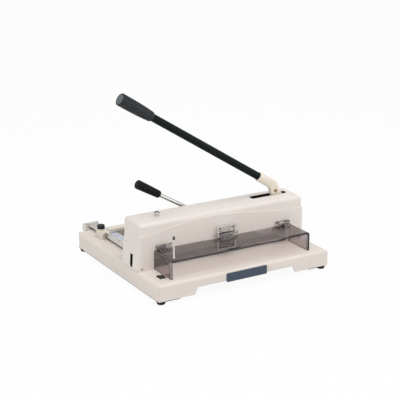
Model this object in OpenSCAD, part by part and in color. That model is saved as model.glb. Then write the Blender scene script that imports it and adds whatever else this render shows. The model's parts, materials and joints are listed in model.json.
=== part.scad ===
// Heavy-duty paper cutter for stacks up to 43 mm, with a knife that draws sideways as it falls.
// Origin: centre of the base plate's underside. +X runs along the knife to the lever's side,
// +Y runs to the back gauge, +Z is up. The modules work from the base's front left corner.

/* [Base] */
// Width of the base box
base_width = 480; // [476:1:490]
// Depth of the base box
base_depth = 444; // [440:1:460]
// Height of the deck over the underside of the base plate
deck_height = 43; // [42:0.5:46]
// Wall of the moulded base box
base_wall = 4; // [3:0.5:5]
// Radius along the upper edges of the base box
base_edge = 8; // [4:0.5:10]
// Diameter of a rubber foot
foot_diameter = 22; // [18:1:24]
// Height of a rubber foot
foot_height = 7; // [6:0.5:10]
// Half the width of the hand hold at its top
hand_hold_half = 135.5; // [125:0.5:140]
// Height of the hand hold's top
hand_hold_height = 19; // [15:0.5:22]

/* [Housing] */
// Height of the housing's top over the deck
housing_height = 115.3; // [115:0.1:118]
// Depth of the moulded housing over its foot
housing_depth = 82; // [82:0.5:86]
// Sheet thickness of the housing
sheet = 2; // [1.8:0.1:2.2]
// Sideways draw of each end face over the housing's height
end_draft = 6.5; // [4:0.5:8]
// Height of the throat for the stack
throat_height = 45.5; // [45:0.1:45.8]
// Highest point of the arch ledge over the deck
arch_top = 106; // [100:0.5:108]
// Height of the arch ledge at the housing's corners
arch_foot = 85; // [80:0.5:90]

/* [Cutting lever] */
// Diameter of the lever tube
tube_diameter = 19; // [18:0.5:19.5]
// Length of the lever tube and grip outside the casting
lever_reach = 452; // [400:1:455]
// Length of the lever's grip
lever_grip_length = 96; // [85:1:105]
// Largest diameter of the lever's grip
lever_grip_diameter = 31; // [28:0.5:32]
// Rise of the tube over the level when the knife is up, in degrees
lever_rise = 32.2; // [31:0.1:33]

/* [Clamp lever] */
// Diameter of the clamp lever's chrome rod
clamp_rod_diameter = 10; // [9:0.5:11]
// Length of the clamp lever from its shaft to the end of the grip
clamp_reach = 231.4; // [215:1:235]
// Largest diameter of the clamp lever's grip
clamp_grip_diameter = 23; // [20:0.5:23]

/* [Shield] */
// Thickness of the acrylic shield
shield_thickness = 5; // [4:0.5:5]
// Height of the lift rod over the shield
lift_rod_height = 54; // [40:1:54]

/* [Back gauge] */
// Height of the fence's face over the deck
fence_height = 29; // [20:0.5:32]
// Diameter of the gauge knob
knob_diameter = 20; // [16:0.5:22]

/* [Hidden] */
$fn = 64;
part_gap = 0.3;
fit = 0.05;
running = 0.08;
mid_x = base_width / 2;

// Base box
plate_thickness = 2;
foot_inset = 12;
foot_rear_y = base_depth - 16;
foot_bore = 4.4;
foot_screw = 3.4;
hold_slant = 7.5;
hold_depth = 58;
pocket_half = hand_hold_half + 47.5;
deck_under = deck_height - base_wall;
bed_half = 153;
bed_front = 160.5;
bed_rear = base_depth - 42;
bed_thickness = 3;
switch_x = 24;
switch_y = 36;
switch_w = 16;
switch_l = 22;

// Frame
beam_front = 104;
beam_rear = 176;
beam_end = 14;
land_front = 112.5;
land_rear = 160;
cheek_thickness = 10;
cheek_front = 113.5;
cheek_rear = 166;
cheek_top = deck_height + 105;
front_plate_y = 108.5;
rear_plate_y = 166;
rear_plate_thickness = 8;
frame_bottom = deck_height + throat_height;
frame_top = deck_height + 109.5;
groove_front = 141;
groove_rear = 151;
groove_depth = 4;

// Housing
housing_front = 102;
ledge = 3;
housing_rear = housing_front + housing_depth;
housing_top = deck_height + housing_height;
throat_inset = 48;
corner_radius = 10;
top_radius = 10;
arch_peak_x = 200;
housing_width = base_width - 3;
end_fall_x = housing_width - 16;

// Cutting lever and knife
pivot_x = base_width - 40;
pivot_z = deck_height + 80;
shaft_d = 18;
arm_front = 144.5;
arm_thickness = 15;
arm_mid_y = arm_front + arm_thickness / 2;
tube_x = pivot_x - 70;
tube_z = pivot_z + 87.8;
boss_d = 24;
lever_bolt_x = pivot_x - 22.3;
lever_bolt_z = pivot_z + 45.2;
socket_depth = 13.5;
crank_radius = 111.6;
crank_angle = 12;
crank_front = 115;
crank_thickness = 7;
pin_x = pivot_x - crank_radius * cos(crank_angle);
pin_z = pivot_z + crank_radius * sin(crank_angle);
roller_d = 10;
knife_stroke = 2 * crank_radius * sin(crank_angle);
knife_draw = 22;
carrier_front = 123.5;
carrier_thickness = 8;
carrier_left = 38;
carrier_right = base_width - 82;
carrier_bottom = deck_height + 75;
carrier_top = deck_height + 111;
blade_front = carrier_front + carrier_thickness;
blade_thickness = 4.5;
blade_left = 26;
blade_right = base_width - 68;
blade_edge = deck_height + 46.5;
blade_top = deck_height + 97;
blade_bevel = 10.5;
blade_screw_z = deck_height + 85;
blade_screw_step = 60;
guide_z = deck_height + 101.5;
guide_x = [90, 245];
guide_d = 10;

// Clamp
clamp_x = mid_x + 10;
clamp_z = deck_height + 67;
clamp_plane = 198;
clamp_angle = 30.7;
clamp_shaft_d = 14;
clamp_crank_radius = 64.5;
clamp_crank_angle = 20.75;
clamp_crank_front = 157;
clamp_crank_thickness = 7;
clamp_pin_x = clamp_x - clamp_crank_radius * cos(clamp_crank_angle);
clamp_pin_z = clamp_z + clamp_crank_radius * sin(clamp_crank_angle);
clamp_roller_d = 12;
bar_front = 137.5;
bar_rear = 155;
bar_bottom = deck_height + 49;
bar_foot_top = deck_height + 61;
bar_web_top = deck_height + 75;
bar_web_thickness = 7.5;
pad_thickness = 3;
stop_x = 76;
stop_y = 146;

// Shield
shield_left = 43.2;
shield_right = base_width - 43.2;
shield_front = 19.5;
shield_rear = housing_front - 0.4;
shield_top = deck_height + 48.3;
shield_bend = 8;
hinge_y = 96.5;
hinge_z = deck_height + 55.5;
hinge_d = 8;
hinge_pin_d = 4;
leaf_thickness = 1.5;
leaf_front = 85;
left_barrel = [47.5, 71.5];
mid_barrel = [mid_x - 15, mid_x + 17];
right_barrel = [base_width - 71, base_width - 52];
left_lug = [71.8, 84];
right_lug = [base_width - 84, base_width - 71.3];
lift_x = 56.5;
lift_y = 28;
guard_left = mid_x - 25;
guard_right = mid_x + 27;
guard_top = deck_height + 78;
latch_y = hinge_y + 1.5;
latch_z = guard_top - 5;

// Back gauge
rail_left = 39.5;
rail_right = 60.5;
rail_height = 6;
rail_front = base_depth - 258;
rail_rear = base_depth + 7.5;
lip_thickness = 1.2;
lip_depth = 10.5;
rail_screw_x = 55.4;
ruler_left = 66;
ruler_w = 17;
carriage_left = 28;
carriage_right = 50;
carriage_front = base_depth - 93;
carriage_rear = base_depth - 55;
carriage_top = deck_height + 17;
boss_top = deck_height + 22;
clamp_bolt_x = 36.5;
knob_y = base_depth - 67.6;
nut_d = 12.5;
nut_z = deck_height + 12;
fence_front = base_depth - 63;
fence_rear = base_depth - 53;
fence_right = base_width - 84;
fence_arm_end = mid_x - 90;
rail_top = deck_height + rail_height;

// Helpers for shapes that lie along the three axes

module from_corner() {
  translate([-base_width / 2, -base_depth / 2, 0]) children();
}

module box(x0, x1, y0, y1, z0, z1) {
  translate([x0, y0, z0]) cube([x1 - x0, y1 - y0, z1 - z0]);
}

module rod_x(d, x0, x1, y, z) {
  translate([x0, y, z]) rotate([0, 90, 0]) cylinder(d = d, h = x1 - x0);
}

module rod_y(d, y0, y1, x, z) {
  translate([x, y0, z]) rotate([-90, 0, 0]) cylinder(d = d, h = y1 - y0);
}

module rod_z(d, z0, z1, x, y) {
  translate([x, y, z0]) cylinder(d = d, h = z1 - z0);
}

// A flat shape drawn in X and Z, as thick as y0 to y1
module plate_xz(y0, y1) {
  translate([0, y1, 0]) rotate([90, 0, 0]) linear_extrude(y1 - y0) children();
}

// A flat shape drawn in Y and Z, as wide as x0 to x1
module plate_yz(x0, x1) {
  translate([x0, 0, 0]) rotate([90, 0, 90]) linear_extrude(x1 - x0) children();
}

// A rectangle whose two upper corners are round
module round_top(w, h, r) {
  square([w, h - r]);
  translate([r, 0]) square([w - 2 * r, h]);
  for (x = [r, w - r]) translate([x, h - r]) circle(r);
}

// A rectangle with four round corners, from its lower left corner
module round_rect(w, h, r) {
  translate([r, 0]) square([w - 2 * r, h]);
  translate([0, r]) square([w, h - 2 * r]);
  for (x = [r, w - r], y = [r, h - r]) translate([x, y]) circle(r);
}

// A long hole between two points
module slot_2d(from, to, d) {
  run = norm(to - from);
  turn = atan2(to[1] - from[1], to[0] - from[0]);
  translate(from) {
    circle(d = d);
    rotate(turn) {
      translate([0, -d / 2]) square([run, d]);
      translate([run, 0]) circle(d = d);
    }
  }
}

// A countersunk screw along +Y whose flat head starts at y0
module flat_screw_y(x, y0, z, head, shank, length) {
  translate([x, y0, z]) rotate([-90, 0, 0]) {
    cylinder(d1 = head, d2 = shank, h = (head - shank) / 2);
    cylinder(d = shank, h = length);
  }
}

// Places that several nodes share

function foot_places() =
  [for (x = [foot_inset, base_width - foot_inset], y = [foot_inset, foot_rear_y]) [x, y]];

function bed_screw_places() = [for (x = [mid_x - 140, mid_x, mid_x + 140], y = [172, bed_rear - 12]) [x, y]];

function frame_bolt_places() =
  [for (x = [beam_end + 5, base_width - beam_end - 5], z = [100, 144]) [x, z + deck_height - 43]];

function blade_screw_places() = [for (i = [0 : 5]) carrier_left + 22 + i * blade_screw_step];

function rail_screw_places() =
  [for (y = [rail_front + 14, rail_front + 124, base_depth - 16]) [rail_screw_x, y]];

// Base box: drawn over the whole plan, then hollowed from below

module base_outline(inset, top) {
  w = base_width - 2 * inset;
  d = base_depth - 2 * inset;
  edge = base_edge - inset;
  intersection() {
    plate_yz(inset, base_width - inset)
      translate([inset, 0]) round_top(d, top, edge);
    plate_xz(inset, base_depth - inset)
      translate([inset, 0]) round_top(w, top, edge);
    translate([inset, inset, plate_thickness]) linear_extrude(top) {
      square([w, d - 12]);
      translate([12, 0]) square([w - 24, d]);
      for (x = [12, w - 12]) translate([x, d - 12]) circle(12);
    }
  }
}

// Side view of the hand hold: slanted sides, rounded where they meet the lower edge
module hand_hold_shape() {
  low = hand_hold_half + hold_slant;
  slant = atan2(hand_hold_height - plate_thickness, hold_slant);
  round = 4;
  run = round / tan((180 - slant) / 2);
  polygon([
    [mid_x - low, plate_thickness - 1], [mid_x - low, plate_thickness],
    [mid_x - hand_hold_half, hand_hold_height], [mid_x + hand_hold_half, hand_hold_height],
    [mid_x + low, plate_thickness], [mid_x + low, plate_thickness - 1]
  ]);
  for (side = [0, 1])
    translate([mid_x + (1 - 2 * side) * low, plate_thickness]) mirror([side, 0])
      difference() {
        polygon([
          [-1, -1], [run, -1], [run, 0], [run, round], [-run * cos(slant), run * sin(slant)], [-1, 0]
        ]);
        translate([run, round]) circle(round);
      }
}

module base_casing() {
  color("linen") from_corner() difference() {
    union() {
      difference() {
        base_outline(0, deck_height);
        box(base_wall, base_width - base_wall, base_wall, base_depth - base_wall, 0, deck_under);
      }
      // walls of the hand hold
      box(mid_x - pocket_half, mid_x + pocket_half, hold_depth, hold_depth + 3,
          plate_thickness, deck_under + 1);
      for (x = [mid_x - pocket_half - 3, mid_x + pocket_half])
        box(x, x + 3, base_wall - 1, hold_depth + 3, plate_thickness, deck_under + 1);
      // ribs under the deck
      for (x = [mid_x - 100, mid_x, mid_x + 100])
        box(x - 1.5, x + 1.5, 178, base_depth - base_wall + 1, deck_under - 14, deck_under + 1);
      // bosses over the feet
      for (p = foot_places()) rod_z(14, plate_thickness, deck_under + 1, p[0], p[1]);
    }
    plate_xz(-1, base_wall + 1) hand_hold_shape();
    // open joints at the two front corners
    for (x = [-1, base_width - 1]) box(x, x + 2, 0.8, 2, 0, deck_height - base_edge);
    for (p = foot_places()) rod_z(foot_screw, 0, 16, p[0], p[1]);
    // windows for the beam's land and for the cheeks
    box(throat_inset, base_width - throat_inset, 112, bed_front, 20, deck_height + 1);
    for (x = [beam_end - 0.5, base_width - beam_end - cheek_thickness - 0.5])
      box(x, x + cheek_thickness + 1, cheek_front - 0.5, cheek_rear + 0.5, 20, deck_height + 1);
    // seat of the bed plate
    box(mid_x - bed_half - 0.2, mid_x + bed_half + 0.2, bed_front - 1, bed_rear + 0.2,
        deck_height - bed_thickness, deck_height + 1);
    for (p = bed_screw_places()) rod_z(4, 20, deck_height, p[0], p[1]);
    for (p = rail_screw_places()) rod_z(3, 20, deck_height + 1, p[0], p[1]);
    // hole for the switch
    box(switch_x + 1.2, switch_x + switch_w - 1.2, switch_y + 1.2, switch_y + switch_l - 1.2,
        20, deck_height + 1);
  }
}

module base_plate() {
  color("#202224") from_corner() difference() {
    translate([1, 1, 0]) linear_extrude(plate_thickness) difference() {
      round_rect(base_width - 2, base_depth - 2, 6);
      translate([mid_x - 1 - pocket_half, -1]) square([2 * pocket_half, hold_depth]);
    }
    for (p = foot_places()) rod_z(foot_bore, -1, plate_thickness + 1, p[0], p[1]);
  }
}

module rubber_feet() {
  color("#18191b") from_corner()
    for (p = foot_places()) translate([p[0], p[1], -foot_height]) difference() {
      union() {
        cylinder(d1 = foot_diameter - 3, d2 = foot_diameter - 1, h = foot_height - 2);
        translate([0, 0, foot_height - 2]) cylinder(d = foot_diameter, h = 2);
      }
      translate([0, 0, -1]) cylinder(d = 10, h = 4.5);
      cylinder(d = foot_bore, h = foot_height + 1);
    }
}

module foot_screws() {
  color("silver") from_corner()
    for (p = foot_places()) {
      rod_z(8.4, -foot_height + 1, -foot_height + 3.5, p[0], p[1]);
      rod_z(foot_screw - 2 * fit, -foot_height + 3, 14, p[0], p[1]);
    }
}

// Slate plate that wraps the lower edge of the front over the hand hold
module front_grip_plate() {
  half = 57;
  height = 22;
  low = hand_hold_height - 3;
  color("#3f4c5c") from_corner() {
    plate_xz(-2.2, 0) translate([mid_x - half, low]) round_rect(2 * half, height, 2.5);
    box(mid_x - half + 3, mid_x + half - 3, -1, base_wall + 6, hand_hold_height - 2, hand_hold_height);
  }
}

module bed_plate() {
  color("#9a9488") from_corner() difference() {
    box(mid_x - bed_half, mid_x + bed_half, bed_front, bed_rear, deck_height - bed_thickness, deck_height);
    for (p = bed_screw_places()) translate([p[0], p[1], deck_height - bed_thickness - 1]) {
      cylinder(d = 4.2, h = 5);
      translate([0, 0, 2]) cylinder(d1 = 4.2, d2 = 8.2, h = 2.01);
    }
  }
}

module bed_screws() {
  color("silver") from_corner()
    for (p = bed_screw_places()) translate([p[0], p[1], deck_height]) {
      translate([0, 0, -2.1]) cylinder(d1 = 4, d2 = 7.9, h = 2);
      translate([0, 0, -10]) cylinder(d = 3.9, h = 8);
    }
}

// Cast beam under the cut: ribbed from below, with a land and a groove for the cutting stick
module table_beam() {
  cells = 8;
  pitch = (base_width - 2 * beam_end - 6) / cells;
  color("#56595c") from_corner() difference() {
    union() {
      box(beam_end, base_width - beam_end, beam_front, beam_rear, plate_thickness, deck_under);
      box(throat_inset + 0.5, base_width - throat_inset - 0.5, land_front, land_rear,
          deck_under - 1, deck_height);
    }
    for (i = [0 : cells - 1], y = [beam_front + 6, beam_front + 39])
      box(beam_end + 6 + i * pitch, beam_end + i * pitch + pitch, y, y + 27, 0, 27);
    box(throat_inset, base_width - throat_inset, 128, 140, deck_height - 10, deck_height + 1);
    for (p = bed_screw_places()) rod_z(4, deck_height - 12, deck_height, p[0], p[1]);
  }
}

module cutting_stick() {
  color("#8c2f2a") from_corner()
    box(throat_inset + 1, base_width - throat_inset - 1, 128.1, 139.9, deck_height - 10, deck_height - 0.2);
}

// Upright cheek with the groove that guides the clamp bar
module cheek(x0, groove_x) {
  difference() {
    box(x0, x0 + cheek_thickness, cheek_front, cheek_rear, deck_under, cheek_top);
    box(groove_x, groove_x + groove_depth, groove_front, groove_rear, deck_under - 1, cheek_top + 1);
    for (p = frame_bolt_places(), y = [cheek_front - 1, cheek_rear - 15])
      rod_y(6, y, y + 16, p[0], p[1]);
  }
}

module left_cheek() {
  color("#6a6d70") from_corner()
    cheek(beam_end, beam_end + cheek_thickness - groove_depth + 0.001);
}

module right_cheek() {
  color("#6a6d70") from_corner()
    cheek(base_width - beam_end - cheek_thickness, base_width - beam_end - cheek_thickness - 0.001);
}

// Front plate: its two slanted slots make the knife draw sideways as it falls
module front_frame_plate() {
  thickness = cheek_front - front_plate_y;
  color("#6a6d70") from_corner() difference() {
    plate_xz(front_plate_y, cheek_front) difference() {
      translate([beam_end, frame_bottom]) square([base_width - 2 * beam_end, frame_top - frame_bottom]);
      for (x = guide_x)
        slot_2d([x - 0.2, guide_z + 0.5], [x + knife_draw + 0.3, guide_z - knife_stroke - 0.6],
                guide_d + 2 * running);
      translate([pivot_x, pivot_z]) circle(d = 24);
    }
    for (p = frame_bolt_places()) {
      rod_y(6.1, front_plate_y - 1, cheek_front + 1, p[0], p[1]);
      translate([p[0], front_plate_y - 0.01, p[1]]) rotate([-90, 0, 0]) cylinder(d1 = 11, d2 = 6, h = 2.5);
    }
  }
}

module rear_frame_plate() {
  top = frame_top;
  y1 = rear_plate_y + rear_plate_thickness;
  color("#6a6d70") from_corner() difference() {
    union() {
      box(beam_end, base_width - beam_end, rear_plate_y, y1, frame_bottom + 4, top);
      // lug that the stop screw is threaded through
      box(stop_x - 11, stop_x + 11, 138, rear_plate_y + 1, deck_height + 87, deck_height + 99);
    }
    rod_y(24, rear_plate_y - 1, y1 + 1, pivot_x, pivot_z);
    rod_y(18, rear_plate_y - 1, y1 + 1, clamp_x, clamp_z);
    rod_z(6 + 2 * running, deck_height, housing_top, stop_x, stop_y);
    for (p = frame_bolt_places()) {
      rod_y(6.1, rear_plate_y - 1, y1 + 1, p[0], p[1]);
      translate([p[0], y1 + 0.01, p[1]]) rotate([90, 0, 0]) cylinder(d1 = 11, d2 = 6, h = 2.5);
    }
  }
}

module frame_bolts() {
  y1 = rear_plate_y + rear_plate_thickness;
  color("#3a3c3f") from_corner()
    for (p = frame_bolt_places()) {
      flat_screw_y(p[0], front_plate_y, p[1], 10.6, 5.9, 18);
      translate([0, 2 * y1, 0]) mirror([0, 1, 0]) flat_screw_y(p[0], y1, p[1], 10.6, 5.9, 20);
    }
}

// Housing

// Height of the front's arch ledge at x
function arch_z(x) =
  let (rise = arch_top - arch_foot)
  deck_height + arch_foot + rise * (
    x < 15 ? 0 :
    x < arch_peak_x ? pow(sin(90 * (x - 15) / (arch_peak_x - 15)), 1.2) :
    x < end_fall_x ? (1 + cos(180 * (x - arch_peak_x) / (end_fall_x - arch_peak_x))) / 2 : 0);

// Height of the end's ledge at y
function end_ledge_z(y) =
  deck_height + arch_foot - 30 * sin(90 * min(1, max(0, (y - housing_front - 4) / (housing_depth - 8))));

module arch_shape() {
  step = 12;
  count = floor(base_width / step);
  polygon(concat(
    [[-1, deck_height]],
    [for (i = [0 : count]) [i * step, arch_z(i * step)]],
    [[base_width + 1, arch_z(base_width)], [base_width + 1, deck_height]]
  ));
}

module end_ledge_shape() {
  step = 6;
  count = ceil(housing_depth / step);
  polygon(concat(
    [[housing_front - 1, deck_height], [housing_front - 1, end_ledge_z(housing_front)]],
    [for (i = [0 : count]) [housing_front + i * step, end_ledge_z(housing_front + i * step)]],
    [[housing_rear + 8, deck_height]]
  ));
}

// Plan of the housing, square behind and round at the front corners
module housing_plan(front, end_x, rear) {
  w = housing_width - 2 * end_x;
  r = corner_radius;
  translate([end_x, front]) {
    translate([0, r]) square([w, rear - front - r]);
    translate([r, 0]) square([w - 2 * r, r + 1]);
    for (x = [r, w - r]) translate([x, r]) circle(r);
  }
}

// Form of the housing with its front at the given y and its ends the given length in from its full width,
// drawn in by the given sheet all round but at the rear, which is open
module housing_form(front_y, end_x, inset) {
  low = deck_height - 1;
  high = housing_top - inset;
  front = front_y + inset;
  rear = housing_rear + inset;
  rear_top = rear - 3;
  r = top_radius - inset;
  foot = end_x + inset;
  intersection() {
    plate_yz(0, base_width) {
      polygon([
        [front, low], [front, high - r], [front + r, high], [rear_top, high], [rear, low]
      ]);
      translate([front + r, high - r]) circle(r);
    }
    plate_xz(housing_front - 1, rear + 1) {
      draft = end_draft * (high - 6 - low) / (housing_top - low);
      far = housing_width - foot;
      polygon([
        [foot, low], [foot + draft, high - 6], [foot + draft + 6, high],
        [far - draft - 6, high], [far - draft, high - 6], [far, low]
      ]);
      for (x = [foot + draft + 6, far - draft - 6]) translate([x, high - 6]) circle(6);
    }
    translate([0, 0, low]) linear_extrude(housing_height + 2) housing_plan(front, foot, rear);
  }
}

// Raised lower panels of the front and the ends, under the arch ledge
module housing_skirt() {
  intersection() {
    housing_form(housing_front, 0, 0);
    union() {
      plate_xz(housing_front - 1, housing_front + 8) arch_shape();
      for (x = [-1, housing_width - 11]) plate_yz(x, x + 12) end_ledge_shape();
    }
  }
}

module housing_cover() {
  inside = throat_inset - sheet;
  color("linen") from_corner() difference() {
    union() {
      difference() {
        union() {
          housing_form(housing_front + ledge, ledge - 1, 0);
          housing_skirt();
        }
        housing_form(housing_front + ledge, ledge - 1, sheet);
      }
      // returns beside the throat's mouth
      for (x = [inside, base_width - throat_inset])
        box(x, x + sheet, housing_front + 4, 121, deck_height, frame_bottom - part_gap);
    }
    // foot, cut level with the deck
    box(-1, base_width + 1, 90, 200, deck_height - 2, deck_height);
    // throat
    box(throat_inset, base_width - throat_inset, 90, 200, deck_height - 1, frame_bottom);
    // slot for the lever's arm
    translate([0, 0, housing_top - 8]) linear_extrude(10) {
      slot_2d([pivot_x - 80, arm_mid_y], [pivot_x + 3, arm_mid_y], 20);
      translate([pivot_x - 92.5, arm_mid_y - 10]) round_rect(20, 20, 2.5);
    }
    // hole of the stop screw
    rod_z(7, housing_top - 8, housing_top + 1, stop_x, stop_y);
    // blade slot in the left end
    box(-1, 8, 131.2, 143.5, deck_height + 3, deck_height + 35.5);
    // seat of the line lamp
    box(58, base_width - 58, housing_front + 2, 108, deck_height, deck_height + 54);
    // screw holes at the lower corners
    for (x = cover_screw_places()) rod_y(3, 100, 112, x, deck_height + 5);
    // seats of the hinge screws
    for (x = hinge_screw_places()) rod_y(2.6, 100, 110, x, hinge_z);
  }
}

function cover_screw_places() = [10.4, housing_width - 10.4];

function hinge_screw_places() = [left_lug[1] + 4.5, right_lug[0] - 4.5];

module rear_cover() {
  y0 = rear_plate_y + rear_plate_thickness + 2.5;
  color("linen") from_corner() difference() {
    box(13, housing_width - 13, y0, y0 + 2.5, deck_height, housing_top - sheet - 1);
    box(throat_inset, base_width - throat_inset, y0 - 1, y0 + 4, deck_height - 1, frame_bottom + 4);
    rod_y(20, y0 - 1, y0 + 4, clamp_x, clamp_z);
    for (p = rear_screw_places()) rod_y(3.2, y0 - 1, y0 + 4, p[0], p[1]);
  }
}

function rear_screw_places() = [for (x = [60, base_width - 60], z = [58, 101]) [x, deck_height + z]];

module cover_screws() {
  y1 = rear_plate_y + rear_plate_thickness + 5;
  color("silver") from_corner() {
    for (x = cover_screw_places()) {
      rod_y(6, housing_front - 1, housing_front, x, deck_height + 5);
      rod_y(2.9, housing_front - 0.5, housing_front + 7, x, deck_height + 5);
    }
    for (p = rear_screw_places()) {
      rod_y(6, y1, y1 + 1.6, p[0], p[1]);
      rod_y(3.1, rear_plate_y + rear_plate_thickness, y1 + 0.5, p[0], p[1]);
    }
  }
}

module bush(d, bore, y0, y1, x, z, flange_d, flange_y0, flange_y1) {
  difference() {
    union() {
      rod_y(d, y0, y1, x, z);
      rod_y(flange_d, flange_y0, flange_y1, x, z);
    }
    rod_y(bore, y0 - 3, y1 + 3, x, z);
  }
}

module shaft_bushes() {
  y1 = rear_plate_y + rear_plate_thickness;
  bore = shaft_d + 2 * running;
  color("#b08d57") from_corner() {
    bush(24, bore, front_plate_y, cheek_front, pivot_x, pivot_z, 27, cheek_front, cheek_front + 1.2);
    bush(24, bore, rear_plate_y, y1, pivot_x, pivot_z, 27, rear_plate_y - 1.5, rear_plate_y);
    bush(18, clamp_shaft_d + 2 * running, rear_plate_y, y1, clamp_x, clamp_z, 21, y1, y1 + 1.2);
  }
}

// Cutting lever

// Turns its children so that +Z runs along the lever tube, from the casting's mouth to the grip
module along_tube() {
  translate([tube_x, arm_mid_y, tube_z]) rotate([0, lever_rise - 90, 0]) children();
}

module casting_shape() {
  up = [sin(lever_rise), cos(lever_rise)];
  along = [cos(lever_rise), -sin(lever_rise)];
  mouth = [tube_x, tube_z];
  half = boss_d / 2;
  elbow = [pivot_x - 29.3, pivot_z + 59.5];
  bend = 14;
  polygon(concat(
    [mouth + up * half],
    [for (a = [90 - lever_rise : -4 : 25]) elbow + bend * [cos(a), sin(a)]],
    [
      [pivot_x - 4.5, pivot_z + 40.5],
      [pivot_x + 14, pivot_z + 3],
      [pivot_x - 14, pivot_z - 3],
      [pivot_x - 34.5, pivot_z + 36],
      [pivot_x - 36, pivot_z + 46],
      [pivot_x - 39, pivot_z + 54]
    ],
    [mouth - up * half]
  ));
}

module lever_casting() {
  color("linen") from_corner() difference() {
    union() {
      plate_xz(arm_front, arm_front + arm_thickness) casting_shape();
      rod_y(29, arm_front, arm_front + arm_thickness, pivot_x, pivot_z);
      along_tube() translate([0, 0, -socket_depth - 1]) cylinder(d = boss_d, h = socket_depth + 2);
      along_tube() translate([0, 0, 1]) cylinder(d1 = boss_d, d2 = boss_d - 2, h = 1.2);
    }
    rod_y(shaft_d + 2 * fit, arm_front - 1, arm_front + arm_thickness + 1, pivot_x, pivot_z);
    along_tube() translate([0, 0, -socket_depth]) cylinder(d = tube_diameter + 2 * fit, h = socket_depth + 4);
    rod_y(6, arm_front - 1, arm_front + arm_thickness + 1, lever_bolt_x, lever_bolt_z);
  }
}

module lever_bolt() {
  color("#8a7a62") from_corner() {
    translate([lever_bolt_x, arm_front - 2, lever_bolt_z]) rotate([-90, 0, 0])
      cylinder(d = 9, h = 2, $fn = 6);
    rod_y(5.9, arm_front - 1, arm_front + arm_thickness, lever_bolt_x, lever_bolt_z);
  }
}

module knife_shaft() {
  color("silver") from_corner()
    rod_y(shaft_d, front_plate_y + 0.3, rear_plate_y + rear_plate_thickness + 1.5, pivot_x, pivot_z);
}

module shaft_ring() {
  y0 = rear_plate_y - 2.7;
  color("#3a3c3f") from_corner() difference() {
    rod_y(24, y0, y0 + 1, pivot_x, pivot_z);
    rod_y(shaft_d + 2 * fit, y0 - 1, y0 + 2, pivot_x, pivot_z);
  }
}

// A crank arm that narrows from its hub to its pin
module crank_arm(x, z, hub, px, pz, tip, y0, y1, bore, pin_bore) {
  turn = atan2(pz - z, px - x);
  run = norm([px - x, pz - z]);
  step = 1;
  plate_xz(y0, y1) difference() {
    translate([x, z]) rotate(turn) {
      circle(hub);
      translate([run, 0]) circle(tip);
      polygon([
        [0, hub - step], [run, tip - step], [run, step - tip], [0, step - hub]
      ]);
    }
    translate([x, z]) circle(d = bore);
    translate([px, pz]) circle(d = pin_bore);
  }
}

module knife_crank() {
  color("#7c8084") from_corner() {
    crank_arm(pivot_x, pivot_z, 14, pin_x, pin_z, 9, crank_front, crank_front + crank_thickness,
              shaft_d + 2 * fit, 5);
    rod_y(6, crank_front, blade_front - 0.5, pin_x, pin_z);
  }
}

module crank_roller() {
  y0 = crank_front + crank_thickness + 0.3;
  color("silver") from_corner() difference() {
    rod_y(roller_d, y0, blade_front - 0.5, pin_x, pin_z);
    rod_y(6 + 2 * fit, y0 - 1, blade_front + 1, pin_x, pin_z);
  }
}

module lever_tube() {
  color("#1d2324") from_corner() along_tube() difference() {
    translate([0, 0, -socket_depth]) cylinder(d = tube_diameter, h = lever_reach + socket_depth - 8);
    translate([0, 0, -socket_depth - 1]) cylinder(d = tube_diameter - 5, h = lever_reach + socket_depth - 6);
  }
}

// Turned grip: a step at its foot, a swell to a nearly straight barrel and a flat end with a round rim
module lever_grip() {
  start = lever_reach - lever_grip_length;
  r = lever_grip_diameter / 2;
  rim = 3;
  barrel = lever_grip_length - rim;
  color("#141718") from_corner() along_tube() translate([0, 0, start]) rotate_extrude() difference() {
    union() {
      polygon([
        [0, 0], [r - 4.5, 0], [r - 3.3, 1.5], [r - 2.3, barrel * 0.12],
        [r - 0.6, barrel * 0.45], [r, barrel * 0.8], [r, barrel], [0, barrel]
      ]);
      translate([0, barrel]) square([r - rim, rim]);
      intersection() {
        translate([r - rim, barrel]) circle(rim);
        square([r, lever_grip_length]);
      }
    }
    translate([-1, -1]) square([tube_diameter / 2 + fit + 1, lever_grip_length - 6.9]);
  }
}

// Knife

module knife_carrier() {
  slot_left = pin_x - knife_draw - 3;
  slot_right = pin_x + 3;
  color("#7c8084") from_corner() difference() {
    plate_xz(carrier_front, blade_front) difference() {
      translate([carrier_left, carrier_bottom])
        square([carrier_right - carrier_left, carrier_top - carrier_bottom]);
      slot_2d([slot_left, pin_z], [slot_right, pin_z], roller_d + 0.6);
      // lightening holes
      for (x = [135, 190]) translate([x, guide_z - 2]) circle(8);
    }
    for (x = blade_screw_places()) {
      rod_y(6.1, carrier_front - 1, blade_front + 1, x, blade_screw_z);
      rod_y(12.2, carrier_front - 1, carrier_front + 4.2, x, blade_screw_z);
    }
    for (x = guide_x) rod_y(6 + 2 * fit, carrier_front - 1, carrier_front + 5, x, guide_z);
  }
}

module knife_blade() {
  back = blade_front + blade_thickness;
  color("#c9cdd0") from_corner() difference() {
    plate_yz(blade_left, blade_right) polygon([
      [blade_front, blade_top], [back, blade_top], [back, blade_edge],
      [back - 0.3, blade_edge], [blade_front, blade_edge + blade_bevel]
    ]);
    for (x = blade_screw_places()) rod_y(6.1, blade_front - 1, back + 1, x, blade_screw_z);
  }
}

module blade_screws() {
  color("#3a3c3f") from_corner()
    for (x = blade_screw_places()) difference() {
      union() {
        rod_y(12, carrier_front + 0.2, carrier_front + 4.1, x, blade_screw_z);
        rod_y(5.9, carrier_front + 1, blade_front + blade_thickness - 0.5, x, blade_screw_z);
      }
      translate([x, carrier_front - 1, blade_screw_z]) rotate([-90, 0, 0])
        cylinder(d = 5.8, h = 3.4, $fn = 6);
    }
}

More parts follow.
